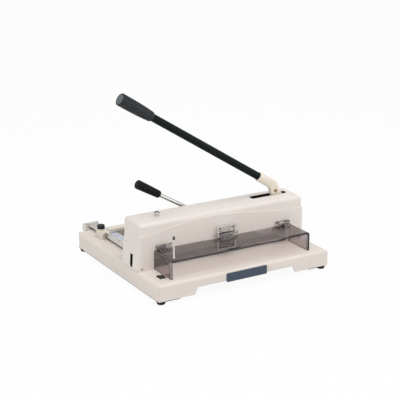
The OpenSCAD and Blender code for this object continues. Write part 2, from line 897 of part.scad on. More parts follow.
module guide_rollers() {
  color("silver") from_corner()
    for (x = guide_x) {
      rod_y(guide_d, front_plate_y + 0.2, cheek_front + 0.3, x, guide_z);
      rod_y(6, front_plate_y - 0.6, carrier_front + 4.8, x, guide_z);
    }
}

// Clamp

module along_clamp() {
  translate([clamp_x, clamp_plane, clamp_z]) rotate([0, clamp_angle - 90, 0]) children();
}

module clamp_shaft() {
  color("silver") from_corner()
    rod_y(clamp_shaft_d, clamp_crank_front, clamp_plane + 6.5, clamp_x, clamp_z);
}

module clamp_crank() {
  color("#7c8084") from_corner() {
    crank_arm(clamp_x, clamp_z, 13, clamp_pin_x, clamp_pin_z, 9, clamp_crank_front,
              clamp_crank_front + clamp_crank_thickness, clamp_shaft_d + 2 * fit, 5);
    rod_y(8, bar_front + 0.3, clamp_crank_front + clamp_crank_thickness, clamp_pin_x, clamp_pin_z);
  }
}

module clamp_roller() {
  y0 = bar_front + 0.4;
  color("silver") from_corner() difference() {
    rod_y(clamp_roller_d, y0, y0 + 7, clamp_pin_x, clamp_pin_z);
    rod_y(8 + 2 * fit, y0 - 1, y0 + 8, clamp_pin_x, clamp_pin_z);
  }
}

module clamp_hub() {
  color("#1b1d1f") from_corner() difference() {
    union() {
      rod_y(24, clamp_plane - 8, clamp_plane + 6, clamp_x, clamp_z);
      along_clamp() cylinder(d = 15, h = 22);
    }
    rod_y(clamp_shaft_d + 2 * fit, clamp_plane - 9, clamp_plane + 7, clamp_x, clamp_z);
    along_clamp() translate([0, 0, 9]) cylinder(d = clamp_rod_diameter + 2 * fit, h = 20);
  }
}

module clamp_rod() {
  color("#c8cdd0") from_corner() along_clamp()
    translate([0, 0, 9]) cylinder(d = clamp_rod_diameter, h = clamp_reach - 20);
}

module clamp_grip() {
  grip = 70;
  start = clamp_reach - grip;
  r = clamp_grip_diameter / 2;
  color("#141718") from_corner() along_clamp() translate([0, 0, start]) rotate_extrude() difference() {
    polygon([
      [0, 0], [r - 3.5, 0], [r - 2.2, 1.5], [r, grip - 3], [r - 1.5, grip - 0.8], [r - 3, grip], [0, grip]
    ]);
    translate([-1, -1]) square([clamp_rod_diameter / 2 + fit + 1, grip - 9.9]);
  }
}

module pressure_bar() {
  tab_half = 24;
  tongue = part_gap;
  color("#808488") from_corner() difference() {
    union() {
      box(beam_end + cheek_thickness + 0.6, base_width - beam_end - cheek_thickness - 0.6,
          bar_front, bar_rear, bar_bottom, bar_foot_top);
      box(beam_end + cheek_thickness - groove_depth + 0.4,
          base_width - beam_end - cheek_thickness + groove_depth - 0.4,
          groove_front + tongue, groove_rear - tongue, bar_bottom, bar_foot_top);
      box(90, base_width - 65, bar_front, bar_front + bar_web_thickness, bar_foot_top - 1, bar_web_top);
      box(clamp_pin_x - tab_half, clamp_pin_x + tab_half, bar_front, bar_front + bar_web_thickness,
          bar_web_top - 1, clamp_pin_z + 12);
    }
    plate_xz(bar_front - 1, bar_front + bar_web_thickness + 1)
      slot_2d([clamp_pin_x - 7, clamp_pin_z], [clamp_pin_x + 3, clamp_pin_z], clamp_roller_d + 0.8);
  }
}

module pressure_pad() {
  color("#2c2e30") from_corner()
    box(throat_inset + 4, base_width - throat_inset - 4, bar_front + 1, bar_rear - 1,
        bar_bottom - pad_thickness, bar_bottom);
}

module stop_screw() {
  color("#c8cdd0") from_corner() {
    rod_z(14, housing_top + part_gap, housing_top + 11.7, stop_x, stop_y);
    rod_z(6, bar_foot_top + 0.4, housing_top + 1, stop_x, stop_y);
  }
}

// Back gauge

// Rail with a lip that stands out over the deck on its left, for the clamp block to pull up on
module gauge_rail() {
  color("#cfccc6") from_corner() difference() {
    plate_xz(rail_front, rail_rear) difference() {
      translate([rail_left, deck_height]) square([rail_right - rail_left, rail_height]);
      translate([rail_left - 1, deck_height - 1]) square([lip_depth + 1, rail_height - lip_thickness + 1]);
    }
    for (p = rail_screw_places()) {
      rod_z(3.1, deck_height - 1, rail_top + 1, p[0], p[1]);
      translate([p[0], p[1], rail_top - 1.6]) cylinder(d1 = 3.1, d2 = 6.3, h = 1.61);
    }
  }
}

// End bracket: a plate across the rail's end, a foot behind the base and a cheek on the deck
module rail_end_bracket() {
  left = 22;
  right = 66;
  low = deck_height - 6.4;
  high = deck_height + 13.8;
  color("#bdb8b0") from_corner() {
    box(left, right, rail_rear, rail_rear + 7, low, high);
    box(left, right, base_depth, rail_rear + 1, low, deck_height);
    box(left, left + 5, base_depth - 6, rail_rear + 1, deck_height, high);
  }
}

module ruler_strip() {
  color("#cdd6e4") from_corner()
    box(ruler_left, ruler_left + ruler_w, rail_front, base_depth - 8, deck_height, deck_height + 0.8);
}

module rail_screws() {
  color("silver") from_corner()
    for (p = rail_screw_places()) {
      translate([p[0], p[1], rail_top - 1.7]) cylinder(d1 = 2.9, d2 = 6, h = 1.6);
      rod_z(2.9, deck_height - 8, rail_top - 1.5, p[0], p[1]);
    }
}

// Carriage: it stands over the deck, reaches over the rail's lip and has an index tongue at its front
module gauge_carriage() {
  low = deck_height + part_gap;
  color("linen") from_corner() difference() {
    union() {
      plate_yz(carriage_left, carriage_right) translate([carriage_front, low])
        round_top(carriage_rear - carriage_front, carriage_top - low, 2);
      rod_z(19, carriage_top - 1, boss_top, clamp_bolt_x, knob_y);
      box(carriage_left + 1, carriage_left + 9, carriage_front - 15, carriage_front + 1, low, low + 1.2);
    }
    // room over the rail's lip
    box(rail_left - part_gap, carriage_right + 1, carriage_front - 1, carriage_rear + 1,
        deck_height - 1, rail_top + part_gap);
    // pocket of the clamp block
    box(clamp_bolt_x - 5.3, rail_left, knob_y - 7.3, knob_y + 7.3, deck_height - 1, rail_top);
    rod_z(4.8 + 2 * running, deck_height, boss_top + 1, clamp_bolt_x, knob_y);
    rod_y(5 + 2 * running, carriage_front - 1, carriage_front + 12, clamp_bolt_x, nut_z);
  }
}

// Fence: an arm over the rail and the ruler, then a face down to the bed where the stack lands
module gauge_fence() {
  low = rail_top + 0.5;
  face_z = deck_height + 1;
  color("linen") from_corner() {
    box(carriage_right, fence_right, fence_front, fence_rear, low, low + 6.5);
    box(fence_arm_end, fence_right, fence_front, fence_front + 4, face_z, deck_height + fence_height);
    box(fence_arm_end, fence_right, fence_front, fence_rear, face_z, low + 1);
  }
}

module gauge_knob() {
  low = boss_top + part_gap;
  lobes = 10;
  bevel = 1.5;
  height = 10;
  color("#141718") from_corner() translate([clamp_bolt_x, knob_y, low]) difference() {
    union() {
      cylinder(d = knob_diameter, h = height - bevel);
      translate([0, 0, height - bevel])
        cylinder(d1 = knob_diameter, d2 = knob_diameter - 2 * bevel, h = bevel);
    }
    translate([0, 0, -1]) cylinder(d = 4.8 + 2 * fit, h = 8);
    for (i = [0 : lobes - 1]) rotate(i * 360 / lobes)
      translate([knob_diameter / 2 + 1.2, 0, -1]) cylinder(d = 4, h = height + 2);
  }
}

// Bolt of the knob with the clamp block that pulls up under the rail's lip
module gauge_bolt() {
  block_top = rail_top - lip_thickness - part_gap;
  color("silver") from_corner() {
    rod_z(4.6, deck_height + 1, boss_top + 6.5, clamp_bolt_x, knob_y);
    box(clamp_bolt_x - 5, rail_left + lip_depth - 0.8, knob_y - 7, knob_y + 7, deck_height + 0.4, block_top);
  }
}

// Round nut whose screw turns the fence square
module squaring_nut() {
  color("#c0bcb4") from_corner() difference() {
    union() {
      rod_y(nut_d - 3, carriage_front - 5.5, carriage_front - part_gap, clamp_bolt_x, nut_z);
      rod_y(nut_d, carriage_front - 3.5, carriage_front - part_gap, clamp_bolt_x, nut_z);
      rod_y(5, carriage_front - 1, carriage_front + 11, clamp_bolt_x, nut_z);
    }
    rod_y(3.2, carriage_front - 6.5, carriage_front - 3, clamp_bolt_x, nut_z);
  }
}

// Shield

module shield_shape(inset) {
  translate([shield_left + inset, deck_height + part_gap - (inset > 0 ? 1 : 0)])
    round_top(shield_right - shield_left - 2 * inset,
              shield_top - deck_height - part_gap - inset + (inset > 0 ? 1 : 0), shield_bend - inset);
}

module safety_shield() {
  color("#6b6468") from_corner() difference() {
    plate_xz(shield_front, shield_rear) difference() {
      shield_shape(0);
      shield_shape(shield_thickness);
    }
    for (p = leaf_screw_places()) rod_z(3, shield_top - 8, shield_top + 1, p[0], p[1]);
    rod_z(4, shield_top - 8, shield_top + 1, lift_x, lift_y);
  }
}

function leaf_screw_places() =
  [for (x = [left_barrel[0] + 8, left_barrel[1] - 4, mid_barrel[0] + 8, mid_barrel[1] - 8,
             right_barrel[0] + 5, right_barrel[1] - 5]) [x, leaf_front + 4]];

module shield_hinges() {
  color("#4a4a4c") from_corner() difference() {
    for (b = [left_barrel, mid_barrel, right_barrel]) {
      rod_x(hinge_d, b[0], b[1], hinge_y, hinge_z);
      box(b[0], b[1], hinge_y - hinge_d / 2, hinge_y - hinge_d / 2 + leaf_thickness, shield_top, hinge_z);
      box(max(b[0], shield_left + shield_bend), b[1], leaf_front, hinge_y,
          shield_top, shield_top + leaf_thickness);
    }
    rod_x(hinge_pin_d + 2 * running, shield_left, shield_right, hinge_y, hinge_z);
    for (p = leaf_screw_places()) {
      rod_z(3, shield_top - 1, shield_top + 5, p[0], p[1]);
      translate([p[0], p[1], shield_top + leaf_thickness - 1.1]) cylinder(d1 = 3, d2 = 5.2, h = 1.11);
    }
  }
}

module shield_screws() {
  color("silver") from_corner()
    for (p = leaf_screw_places()) {
      translate([p[0], p[1], shield_top + leaf_thickness - 1.1]) cylinder(d1 = 2.9, d2 = 5, h = 1);
      rod_z(2.9, shield_top - 4, shield_top + leaf_thickness - 1, p[0], p[1]);
    }
}

module shield_lift_rod() {
  color("#c8cdd0") from_corner() {
    rod_z(3.9, shield_top - 4.5, shield_top + 1, lift_x, lift_y);
    rod_z(7, shield_top, shield_top + 2, lift_x, lift_y);
    rod_z(4.6, shield_top + 1, shield_top + lift_rod_height - 8, lift_x, lift_y);
  }
}

module lift_rod_tip() {
  color("#2a2422") from_corner() {
    rod_z(5.6, shield_top + lift_rod_height - 8, shield_top + lift_rod_height - 1.5, lift_x, lift_y);
    translate([lift_x, lift_y, shield_top + lift_rod_height - 1.5]) cylinder(d1 = 5.6, d2 = 3.4, h = 1.5);
  }
}

// A fixed lug of the hinge, closed round the pin and square to the housing, with a screw ear at its side
module hinge_lug(lug, screw_x) {
  rod_x(hinge_d, lug[0], lug[1], hinge_y, hinge_z);
  box(lug[0], lug[1], hinge_y, housing_front, hinge_z - hinge_d / 2, hinge_z + hinge_d / 2);
  box(min(lug[0], screw_x), max(lug[1], screw_x), housing_front - 1.8, housing_front,
      hinge_z - hinge_d / 2, hinge_z + hinge_d / 2);
  rod_y(hinge_d, housing_front - 1.8, housing_front, screw_x, hinge_z);
}

module hinge_brackets() {
  color("#c9c6c0") from_corner() difference() {
    union() {
      hinge_lug(left_lug, hinge_screw_places()[0]);
      hinge_lug(right_lug, hinge_screw_places()[1]);
    }
    rod_x(hinge_pin_d + 2 * fit, 0, base_width, hinge_y, hinge_z);
    for (x = hinge_screw_places()) rod_y(2.6, 90, 110, x, hinge_z);
  }
}

module hinge_pins() {
  color("silver") from_corner() {
    rod_x(hinge_pin_d, left_barrel[0] + 1, left_lug[1] + 1, hinge_y, hinge_z);
    rod_x(hinge_pin_d, right_lug[0] - 1, right_barrel[1] - 1, hinge_y, hinge_z);
    rod_x(hinge_pin_d, guard_left - 7, guard_right + 7, hinge_y, hinge_z);
    for (x = [guard_left - 7, guard_right + 4]) rod_x(7.5, x, x + 3, hinge_y, hinge_z);
    for (x = hinge_screw_places()) {
      rod_y(2.5, housing_front - 2.8, housing_front + 4, x, hinge_z);
      rod_y(5.6, housing_front - 3.3, housing_front - 1.8, x, hinge_z);
    }
  }
}

// Chrome guard over the middle of the shield: it carries the hinge pin and the latch
module interlock_bracket() {
  top = guard_top;
  front = housing_front - 8.8;
  color("#c8cdd0") from_corner() difference() {
    union() {
      box(guard_left, guard_right, housing_front - 1.8, housing_front, top - 17, top);
      box(guard_left, guard_right, front, housing_front, top - 2, top);
      for (x = [guard_left, guard_right - 2.5]) {
        box(x, x + 2.5, front, housing_front, top - 18, top);
        box(x, x + 2.5, hinge_y - 2, housing_front, hinge_z - 4, top - 17);
        rod_x(9, x, x + 2.5, hinge_y, hinge_z);
      }
      // guard bars
      for (drop = [10, 15]) rod_x(2.4, guard_left + 2, guard_right - 2, front + 1.4, top - drop);
    }
    rod_x(hinge_pin_d + 2 * fit, guard_left - 1, guard_right + 1, hinge_y, hinge_z);
    rod_x(2 + 2 * fit, guard_left - 1, guard_right + 1, latch_y, latch_z);
  }
}

// Sprung finger that hangs behind the guard bars
module latch_finger() {
  color("#efe9e0") from_corner() {
    rod_x(2, guard_left, guard_right, latch_y, latch_z);
    rod_x(4, mid_x - 14, mid_x + 16, latch_y, latch_z);
    box(mid_x - 14, mid_x + 16, latch_y - 0.8, latch_y + 0.8, latch_z - 12, latch_z);
  }
}

// Switch and lamp

module switch_bezel() {
  color("#1b1c1e") from_corner() difference() {
    union() {
      translate([switch_x, switch_y, deck_height]) linear_extrude(1.4) round_rect(switch_w, switch_l, 1.5);
      box(switch_x + 1.4, switch_x + switch_w - 1.4, switch_y + 1.4, switch_y + switch_l - 1.4,
          deck_height - 14, deck_height + 1);
    }
    box(switch_x + 2.8, switch_x + switch_w - 2.8, switch_y + 2.8, switch_y + switch_l - 2.8,
        deck_height - 9, deck_height + 2);
    rod_x(2.2, switch_x + 1.6, switch_x + switch_w - 1.6, switch_y + switch_l / 2, deck_height - 1);
  }
}

// Rocker, shown tipped to its front
module switch_rocker() {
  half = 7.6;
  tip = 8;
  color("#2a2b2e") from_corner()
    translate([0, switch_y + switch_l / 2, deck_height - 1]) rotate([tip, 0, 0]) {
      plate_yz(switch_x + 3.2, switch_x + switch_w - 3.2) polygon([
        [-half, 3.6], [0, 2.2], [half, 3.6], [half - 1.2, -1], [2, -4], [-2, -4], [-half + 1.2, -1]
      ]);
      rod_x(2, switch_x + 1.8, switch_x + switch_w - 1.8, 0, 0);
    }
}

module line_lamp() {
  color("#e8f0e8") from_corner()
    box(60, base_width - 60, housing_front + 2.5, front_plate_y - 1.3,
        frame_bottom + 0.6, frame_bottom + 7.5);
}

base_casing();
base_plate();
rubber_feet();
foot_screws();
front_grip_plate();
bed_plate();
bed_screws();
table_beam();
cutting_stick();
left_cheek();
right_cheek();
front_frame_plate();
rear_frame_plate();
frame_bolts();
housing_cover();
rear_cover();
cover_screws();
shaft_bushes();
lever_casting();
knife_shaft();
knife_crank();
crank_roller();
lever_tube();
lever_grip();
lever_bolt();
shaft_ring();
knife_carrier();
knife_blade();
blade_screws();
guide_rollers();
clamp_shaft();
clamp_crank();
clamp_roller();
clamp_hub();
clamp_rod();
clamp_grip();
pressure_bar();
pressure_pad();
gauge_rail();
rail_end_bracket();
ruler_strip();
rail_screws();
gauge_carriage();
gauge_fence();
gauge_knob();
gauge_bolt();
squaring_nut();
safety_shield();
shield_hinges();
shield_screws();
shield_lift_rod();
lift_rod_tip();
hinge_brackets();
hinge_pins();
interlock_bracket();
latch_finger();
stop_screw();
switch_bezel();
switch_rocker();
line_lamp();
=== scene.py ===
import json
import math

import bmesh
import bpy
from mathutils import Matrix, Vector

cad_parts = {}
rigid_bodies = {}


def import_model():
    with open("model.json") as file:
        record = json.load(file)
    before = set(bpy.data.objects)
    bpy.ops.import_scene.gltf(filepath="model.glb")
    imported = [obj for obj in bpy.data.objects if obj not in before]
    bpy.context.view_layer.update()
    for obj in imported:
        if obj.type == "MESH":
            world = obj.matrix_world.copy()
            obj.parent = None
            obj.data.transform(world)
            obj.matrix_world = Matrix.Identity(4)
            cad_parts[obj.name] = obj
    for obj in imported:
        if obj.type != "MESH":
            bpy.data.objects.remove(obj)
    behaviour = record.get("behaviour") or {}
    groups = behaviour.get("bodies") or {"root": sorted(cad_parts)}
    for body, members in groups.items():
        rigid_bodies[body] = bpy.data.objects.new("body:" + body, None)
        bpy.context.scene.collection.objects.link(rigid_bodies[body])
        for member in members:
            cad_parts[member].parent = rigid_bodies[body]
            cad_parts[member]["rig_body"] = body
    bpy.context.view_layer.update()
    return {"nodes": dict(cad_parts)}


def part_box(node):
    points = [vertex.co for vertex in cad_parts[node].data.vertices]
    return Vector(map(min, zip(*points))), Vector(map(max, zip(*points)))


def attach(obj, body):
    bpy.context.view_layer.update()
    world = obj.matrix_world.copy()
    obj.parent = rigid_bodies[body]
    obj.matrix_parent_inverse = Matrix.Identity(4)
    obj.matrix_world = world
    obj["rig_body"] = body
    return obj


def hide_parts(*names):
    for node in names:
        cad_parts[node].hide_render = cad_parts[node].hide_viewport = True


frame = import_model()

# Base plate. A black painted sheet steel plate that closes the cutter from below.
# The foot screws hold it; from the side it is only the thin dark line under the cream box.
MM = 0.001
MERGE_WITHIN = 2e-6
FLAT_WITHIN = math.radians(0.3)
SOFT_EDGE_ANGLE = math.radians(28)
CREASE_ANGLE = math.radians(40)


def srgb(red, green, blue):
    """A colour as the eye reads it, from 0 to 255, in the linear values that shaders take."""
    shares = [value / 255 for value in (red, green, blue)]
    return [s / 12.92 if s <= 0.04045 else ((s + 0.055) / 1.055) ** 2.4 for s in shares] + [1.0]


def feed(tree, node, inputs):
    """Feeds a node's inputs, by name or number, each with a socket or a plain value."""
    for title, value in inputs.items():
        if isinstance(value, bpy.types.NodeSocket):
            tree.links.new(value, node.inputs[title])
        else:
            node.inputs[title].default_value = value


def add_node(tree, kind, inputs=None, **options):
    """Adds a node to a tree, sets its options and feeds its inputs."""
    node = tree.nodes.new(kind)
    for title, value in options.items():
        setattr(node, title, value)
    feed(tree, node, inputs or {})
    return node


def worked(tree, operation, *values):
    """The result of one sum on sockets or plain numbers."""
    return add_node(tree, "ShaderNodeMath", dict(enumerate(values)), operation=operation).outputs[0]


def named_tree(kind, name, inputs, outputs):
    """A node tree whose inputs and outputs each have a name, a kind of socket and, if given, a value."""
    tree = bpy.data.node_groups.new(name, kind)
    for way, sockets in (("INPUT", inputs), ("OUTPUT", outputs)):
        for title, socket, *value in sockets:
            made = tree.interface.new_socket(title, in_out=way, socket_type="NodeSocket" + socket)
            if value:
                made.default_value = value[0]
    return tree, tree.nodes.new("NodeGroupInput").outputs, tree.nodes.new("NodeGroupOutput")


def noise_in(tree, scale, detail, place=None):
    """A noise on object coordinates, or on another place where one is given."""
    if place is None:
        place = add_node(tree, "ShaderNodeTexCoord").outputs["Object"]
    noise = add_node(tree, "ShaderNodeTexNoise", {"Vector": place, "Scale": scale, "Detail": detail})
    return noise.outputs["Fac"]


def stretched(tree, value, low, high, top=1.0):
    """Stretches the part of a value between low and high over 0 to top."""
    ends = {"Value": value, "From Min": low, "From Max": high, "To Max": top}
    return add_node(tree, "ShaderNodeMapRange", ends).outputs["Result"]


def shade_between(tree, factor, first, second):
    """Mixes two colours, each a socket or a plain colour, by a factor socket."""
    colours = {"Factor": factor, "A": first, "B": second}
    return add_node(tree, "ShaderNodeMix", colours, data_type="RGBA").outputs["Result"]


def rubbed_edges():
    """Mask of the rounded edges, for rubbed wear on most finishes and for a painted highlight on the cream
    mouldings.
    """
    group, given, result = named_tree("ShaderNodeTree", "rubbed_edges", [
        ("Scale", "Float", 60.0), ("Amount", "Float", 0.5)], [("Mask", "Float")])
    edge = add_node(group, "ShaderNodeAttribute", attribute_name="edge").outputs["Fac"]
    whole_below, rubbed_above = 0.42, 0.66
    patches = stretched(group, noise_in(group, given["Scale"], 5.0), whole_below, rubbed_above)
    mask = worked(group, "MULTIPLY", worked(group, "MULTIPLY", patches, edge), given["Amount"])
    feed(group, result, {"Mask": mask})
    return group


def moulded_skin():
    """Slow changes of tone over a piece, and the fine grain of its skin."""
    group, given, result = named_tree("ShaderNodeTree", "moulded_skin", [
        ("Patch Scale", "Float", 20.0), ("Grain Scale", "Float", 900.0)],
        [("Patches", "Float"), ("Grain", "Float")])
    feed(group, result, {"Patches": noise_in(group, given["Patch Scale"], 3.0),
                         "Grain": noise_in(group, given["Grain Scale"], 2.0)})
    return group


def drawn_lines():
    """Fine lines along one direction, as grinding, drawing or brushing leaves them."""
    group, given, result = named_tree("ShaderNodeTree", "drawn_lines", [
        ("Stretch", "Vector", (40.0, 1500.0, 1500.0)), ("Scale", "Float", 1.0)], [("Lines", "Float")])
    place = add_node(group, "ShaderNodeTexCoord")
    drawn_out = add_node(group, "ShaderNodeVectorMath", {0: place.outputs["Object"], 1: given["Stretch"]},
                         operation="MULTIPLY")
    feed(group, result, {"Lines": noise_in(group, given["Scale"], 2.0, drawn_out.outputs[0])})
    return group


def handling_marks():
    """Smears and hair scratches that hands leave on smooth metal and plastic."""
    group, given, result = named_tree("ShaderNodeTree", "handling_marks", [
        ("Scale", "Float", 45.0), ("Amount", "Float", 0.3)], [("Marks", "Float")])
    clean_below, smeared_above = 0.45, 0.75
    smears = stretched(group, noise_in(group, given["Scale"], 8.0), clean_below, smeared_above)
    feed(group, result, {"Marks": worked(group, "MULTIPLY", smears, given["Amount"])})
    return group


EDGE_WEAR_AND_HIGHLIGHT = rubbed_edges()
MOULDED_SKIN = moulded_skin()
DRAWN_LINES = drawn_lines()
HANDLING_MARKS = handling_marks()
SMOOTHEST = 0.02


def effect(tree, group, **values):
    """The outputs of a shared effect in a material; its inputs are named with _ for a space."""
    inputs = {title.replace("_", " "): value for title, value in values.items()}
    return add_node(tree, "ShaderNodeGroup", inputs, node_tree=group).outputs


def bare_material(name):
    """A new material, its node tree and its plain shader."""
    material = bpy.data.materials.new(name)
    material.use_nodes = True
    return material, material.node_tree, material.node_tree.nodes["Principled BSDF"]


def finish(name, colour, rough, metal=0.0, tone=0.04, patch=18.0, grain=900.0, depth=0.03, spread=0.05,
           edge_wear_and_highlight=None, edge_wear_and_highlight_amount=0.4, lines=None, line_depth=0.012, marks=0.0, shine=0.5):
    """A finish: slow tone, skin grain, and where asked an edge colour that is wear on most finishes and a
    painted highlight on the cream ones, drawn lines and handling marks.

    Colours go from 0 to 255 and depths are in millimetres.
    """
    material, tree, shader = bare_material(name)
    skin = effect(tree, MOULDED_SKIN, Patch_Scale=patch, Grain_Scale=grain)
    darker, lighter = [[min(1, value * (1 + change)) for value in srgb(*colour)[:3]] + [1]
                       for change in (-tone, tone)]
    shade = shade_between(tree, skin["Patches"], darker, lighter)
    if edge_wear_and_highlight:
        edges = effect(tree, EDGE_WEAR_AND_HIGHLIGHT, Amount=edge_wear_and_highlight_amount)
        shade = shade_between(tree, edges["Mask"], shade, srgb(*edge_wear_and_highlight))
    smooth_below, rough_above = 0.3, 0.7
    uneven = stretched(tree, skin["Patches"], smooth_below, rough_above, 2 * spread)
    roughness = worked(tree, "ADD", uneven, max(SMOOTHEST, rough - spread))
    if marks:
        roughness = worked(tree, "ADD", roughness, effect(tree, HANDLING_MARKS, Amount=marks)["Marks"])
    bump = add_node(tree, "ShaderNodeBump", {"Distance": depth * MM, "Height": skin["Grain"]})
    if lines:
        drawn = effect(tree, DRAWN_LINES, Stretch=lines)
        bump = add_node(tree, "ShaderNodeBump", {
            "Distance": line_depth * MM, "Height": drawn["Lines"], "Normal": bump.outputs["Normal"]})
    feed(tree, shader, {"Base Color": shade, "Metallic": metal, "Roughness": roughness,
                        "Specular IOR Level": shine, "Normal": bump.outputs["Normal"]})
    return material


def placed(name, data):
    """A new object of the scene for a mesh, a text, a lamp or a camera."""
    thing = bpy.data.objects.new(name, data)
    bpy.context.scene.collection.objects.link(thing)
    return thing


def mesh_of(form, name):
    """The plain mesh of a form, which is freed."""
    mesh = bpy.data.meshes.new(name)
    form.to_mesh(mesh)
    form.free()
    return mesh


def finished(form, name, material, body, node=None, crease=CREASE_ANGLE):
    """Turns a built form into a piece with smooth faces and crisp creases, and hangs it on its body."""
    for face in form.faces:
        face.smooth = True
    mesh = mesh_of(form, name)
    mesh.set_sharp_from_angle(angle=crease)
    mesh.materials.append(material)
    piece = placed(name, mesh)
    piece.modifiers.new("even_faces", "WEIGHTED_NORMAL").keep_sharp = True
    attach(piece, body)
    if node:
        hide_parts(node)
    return piece


def dressed(node, name, material, soften=0.4, segments=2):
    """A merged copy of a part's own form with its sharp edges broken, which takes the part's place."""
    form = bmesh.new()
    form.from_mesh(frame["nodes"][node].data)
    bmesh.ops.remove_doubles(form, verts=form.verts, dist=MERGE_WITHIN)
    bmesh.ops.dissolve_limit(form, angle_limit=FLAT_WITHIN, verts=form.verts, edges=form.edges)
    edge = form.faces.layers.float.new("edge")
    if soften:
        sharp = [e for e in form.edges if len(e.link_faces) == 2 and e.calc_face_angle(0) > SOFT_EDGE_ANGLE]
        made = bmesh.ops.bevel(form, geom=sharp, offset=soften * MM, segments=segments, profile=0.5,
                               affect="EDGES", clamp_overlap=True)
        for face in made["faces"]:
            face[edge] = 1.0
    return finished(form, name, material, frame["nodes"][node]["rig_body"], node)


black_plate = finish("black_plate_paint", (34, 35, 38), 0.48, grain=1400, edge_wear_and_highlight=(120, 118, 112),
                     edge_wear_and_highlight_amount=0.5)
dressed("base_plate", "underside_plate", black_plate, 0.3)

# Feet. Four turned rubber feet with a tapered side and a counterbore for their screw.
# One steel pan head screw holds each foot and goes on through the base plate.
BASE_MIDDLE = Vector((240.0, 222.0, 0.0))
FEET = [(x, y) for y in (12, 428) for x in (12, 468)]
FOOT_SCREW_HEAD = -6
TURN = 2 * math.pi
FACING_UP = (0.0, 0.0, 0.0)
FACING_DOWN = (math.pi, 0.0, 0.0)


def corner(x, y, z):
    """A point in millimetres from the base's front left corner, in the part's own frame."""
    return Vector((x - BASE_MIDDLE.x, y - BASE_MIDDLE.y, z)) * MM


def ring_at(form, radius, height, sides):
    """New corners round Z, in millimetres, or only one where the radius is 0."""
    angles = [TURN * step / sides for step in range(sides if radius else 1)]
    return [form.verts.new((radius * MM * math.cos(angle), radius * MM * math.sin(angle), height * MM))
            for angle in angles]


def bridge(form, rings, edge_rows=()):
    """Joins rings of corners, one to the next, and marks the rows named in edge_rows for the edge colour."""
    edge = form.faces.layers.float.get("edge")
    for row, (first, second) in enumerate(zip(rings, rings[1:])):
        for near in range(max(len(first), len(second))):
            far = near + 1
            around = [first[near % len(first)], first[far % len(first)],
                      second[far % len(second)], second[near % len(second)]]
            face = form.faces.new(list(dict.fromkeys(around)))
            if row in edge_rows:
                face[edge] = 1.0


def turned(profile, sides=48, edges=(), flutes=()):
    """A form turned about Z from (radius, height) pairs, with rows for the edge colour and rows for flutes.
    """
    form = bmesh.new()
    fluted_row = form.verts.layers.float.new("fluted")
    form.faces.layers.float.new("edge")
    rings = [ring_at(form, radius, height, sides) for radius, height in profile]
    for row in flutes:
        for vertex in rings[row]:
            vertex[fluted_row] = 1.0
    bridge(form, rings, edges)
    bmesh.ops.recalc_face_normals(form, faces=form.faces)
    return form


def realized(tree, shapes, paint, result):
    """Ends a geometry tree: its instances become real shapes and get their finish."""
    whole = add_node(tree, "GeometryNodeRealizeInstances", {"Geometry": shapes})
    painted = add_node(tree, "GeometryNodeSetMaterial", {
        "Geometry": whole.outputs["Geometry"], "Material": paint})
    feed(tree, result, {0: painted.outputs["Geometry"]})
    return tree


def set_out_tree():
    """Sets a form out on points: turned to face one way, and spun about its own axis by chance."""
    tree, given, result = named_tree("GeometryNodeTree", "set_out", [
        ("Places", "Geometry"), ("Form", "Object"), ("Facing", "Vector"), ("Spin", "Float"), ("Seed", "Int"),
        ("Finish", "Material")], [("Pieces", "Geometry")])
    form = add_node(tree, "GeometryNodeObjectInfo", {"Object": given["Form"]})
    facing = add_node(tree, "FunctionNodeEulerToRotation", {0: given["Facing"]})
    chance = add_node(tree, "FunctionNodeRandomValue", {3: given["Spin"], "Seed": given["Seed"]},
                      data_type="FLOAT")
    about = add_node(tree, "ShaderNodeCombineXYZ", {"Z": chance.outputs[1]})
    spin = add_node(tree, "FunctionNodeEulerToRotation", {0: about.outputs[0]})
    both = add_node(tree, "FunctionNodeRotateRotation",
                    {"Rotation": facing.outputs[0], "Rotate By": spin.outputs[0]}, rotation_space="LOCAL")
    place = add_node(tree, "GeometryNodeInstanceOnPoints", {
        "Points": given["Places"], "Instance": form.outputs["Geometry"], "Rotation": both.outputs[0]})
    return realized(tree, place.outputs["Instances"], given["Finish"], result)


def added(form, mesh):
    """Puts a mesh into a form and deletes the mesh."""
    form.from_mesh(mesh)
    bpy.data.meshes.remove(mesh)
    return form


def grown(name, start, tree, values):
    """Runs a geometry tree on a start mesh with its named inputs, and gives back the plain form."""
    grower = placed(name, start)
    growth = grower.modifiers.new("growth", "NODES")
    growth.node_group = tree
    sockets = {item.name: item.identifier for item in tree.interface.items_tree if item.in_out == "INPUT"}
    for title, value in values.items():
        growth[sockets[title]] = value
    grower.update_tag()
    graph = bpy.context.evaluated_depsgraph_get()
    mesh = bpy.data.meshes.new_from_object(grower.evaluated_get(graph), depsgraph=graph)
    grower.modifiers.remove(growth)
    bpy.data.objects.remove(grower)
    return added(bmesh.new(), mesh)


SET_OUT = set_out_tree()


def set_out(name, form, places, facing, material, body, node, spin=0.0, seed=1):
    """One piece made of a form repeated at the given corners, all facing one way."""
    model = placed(name + "_pattern", mesh_of(form, name + "_pattern"))
    points = bpy.data.meshes.new(name + "_places")
    points.from_pydata([corner(*place) for place in places], [], [])
    repeated = grown(name, points, SET_OUT, {
        "Form": model, "Facing": facing, "Spin": spin, "Seed": seed, "Finish": material})
    bpy.data.objects.remove(model)
    return finished(repeated, name, material, body, node)


def cross(reach, width):
    """Outline of a cross recess."""
    a, w = reach / 2, width / 2
    return [(w, w), (w, a), (-w, a), (-w, w), (-a, w), (-a, -w), (-w, -w), (-w, -a), (w, -a), (w, -w),
            (a, -w), (a, w)]


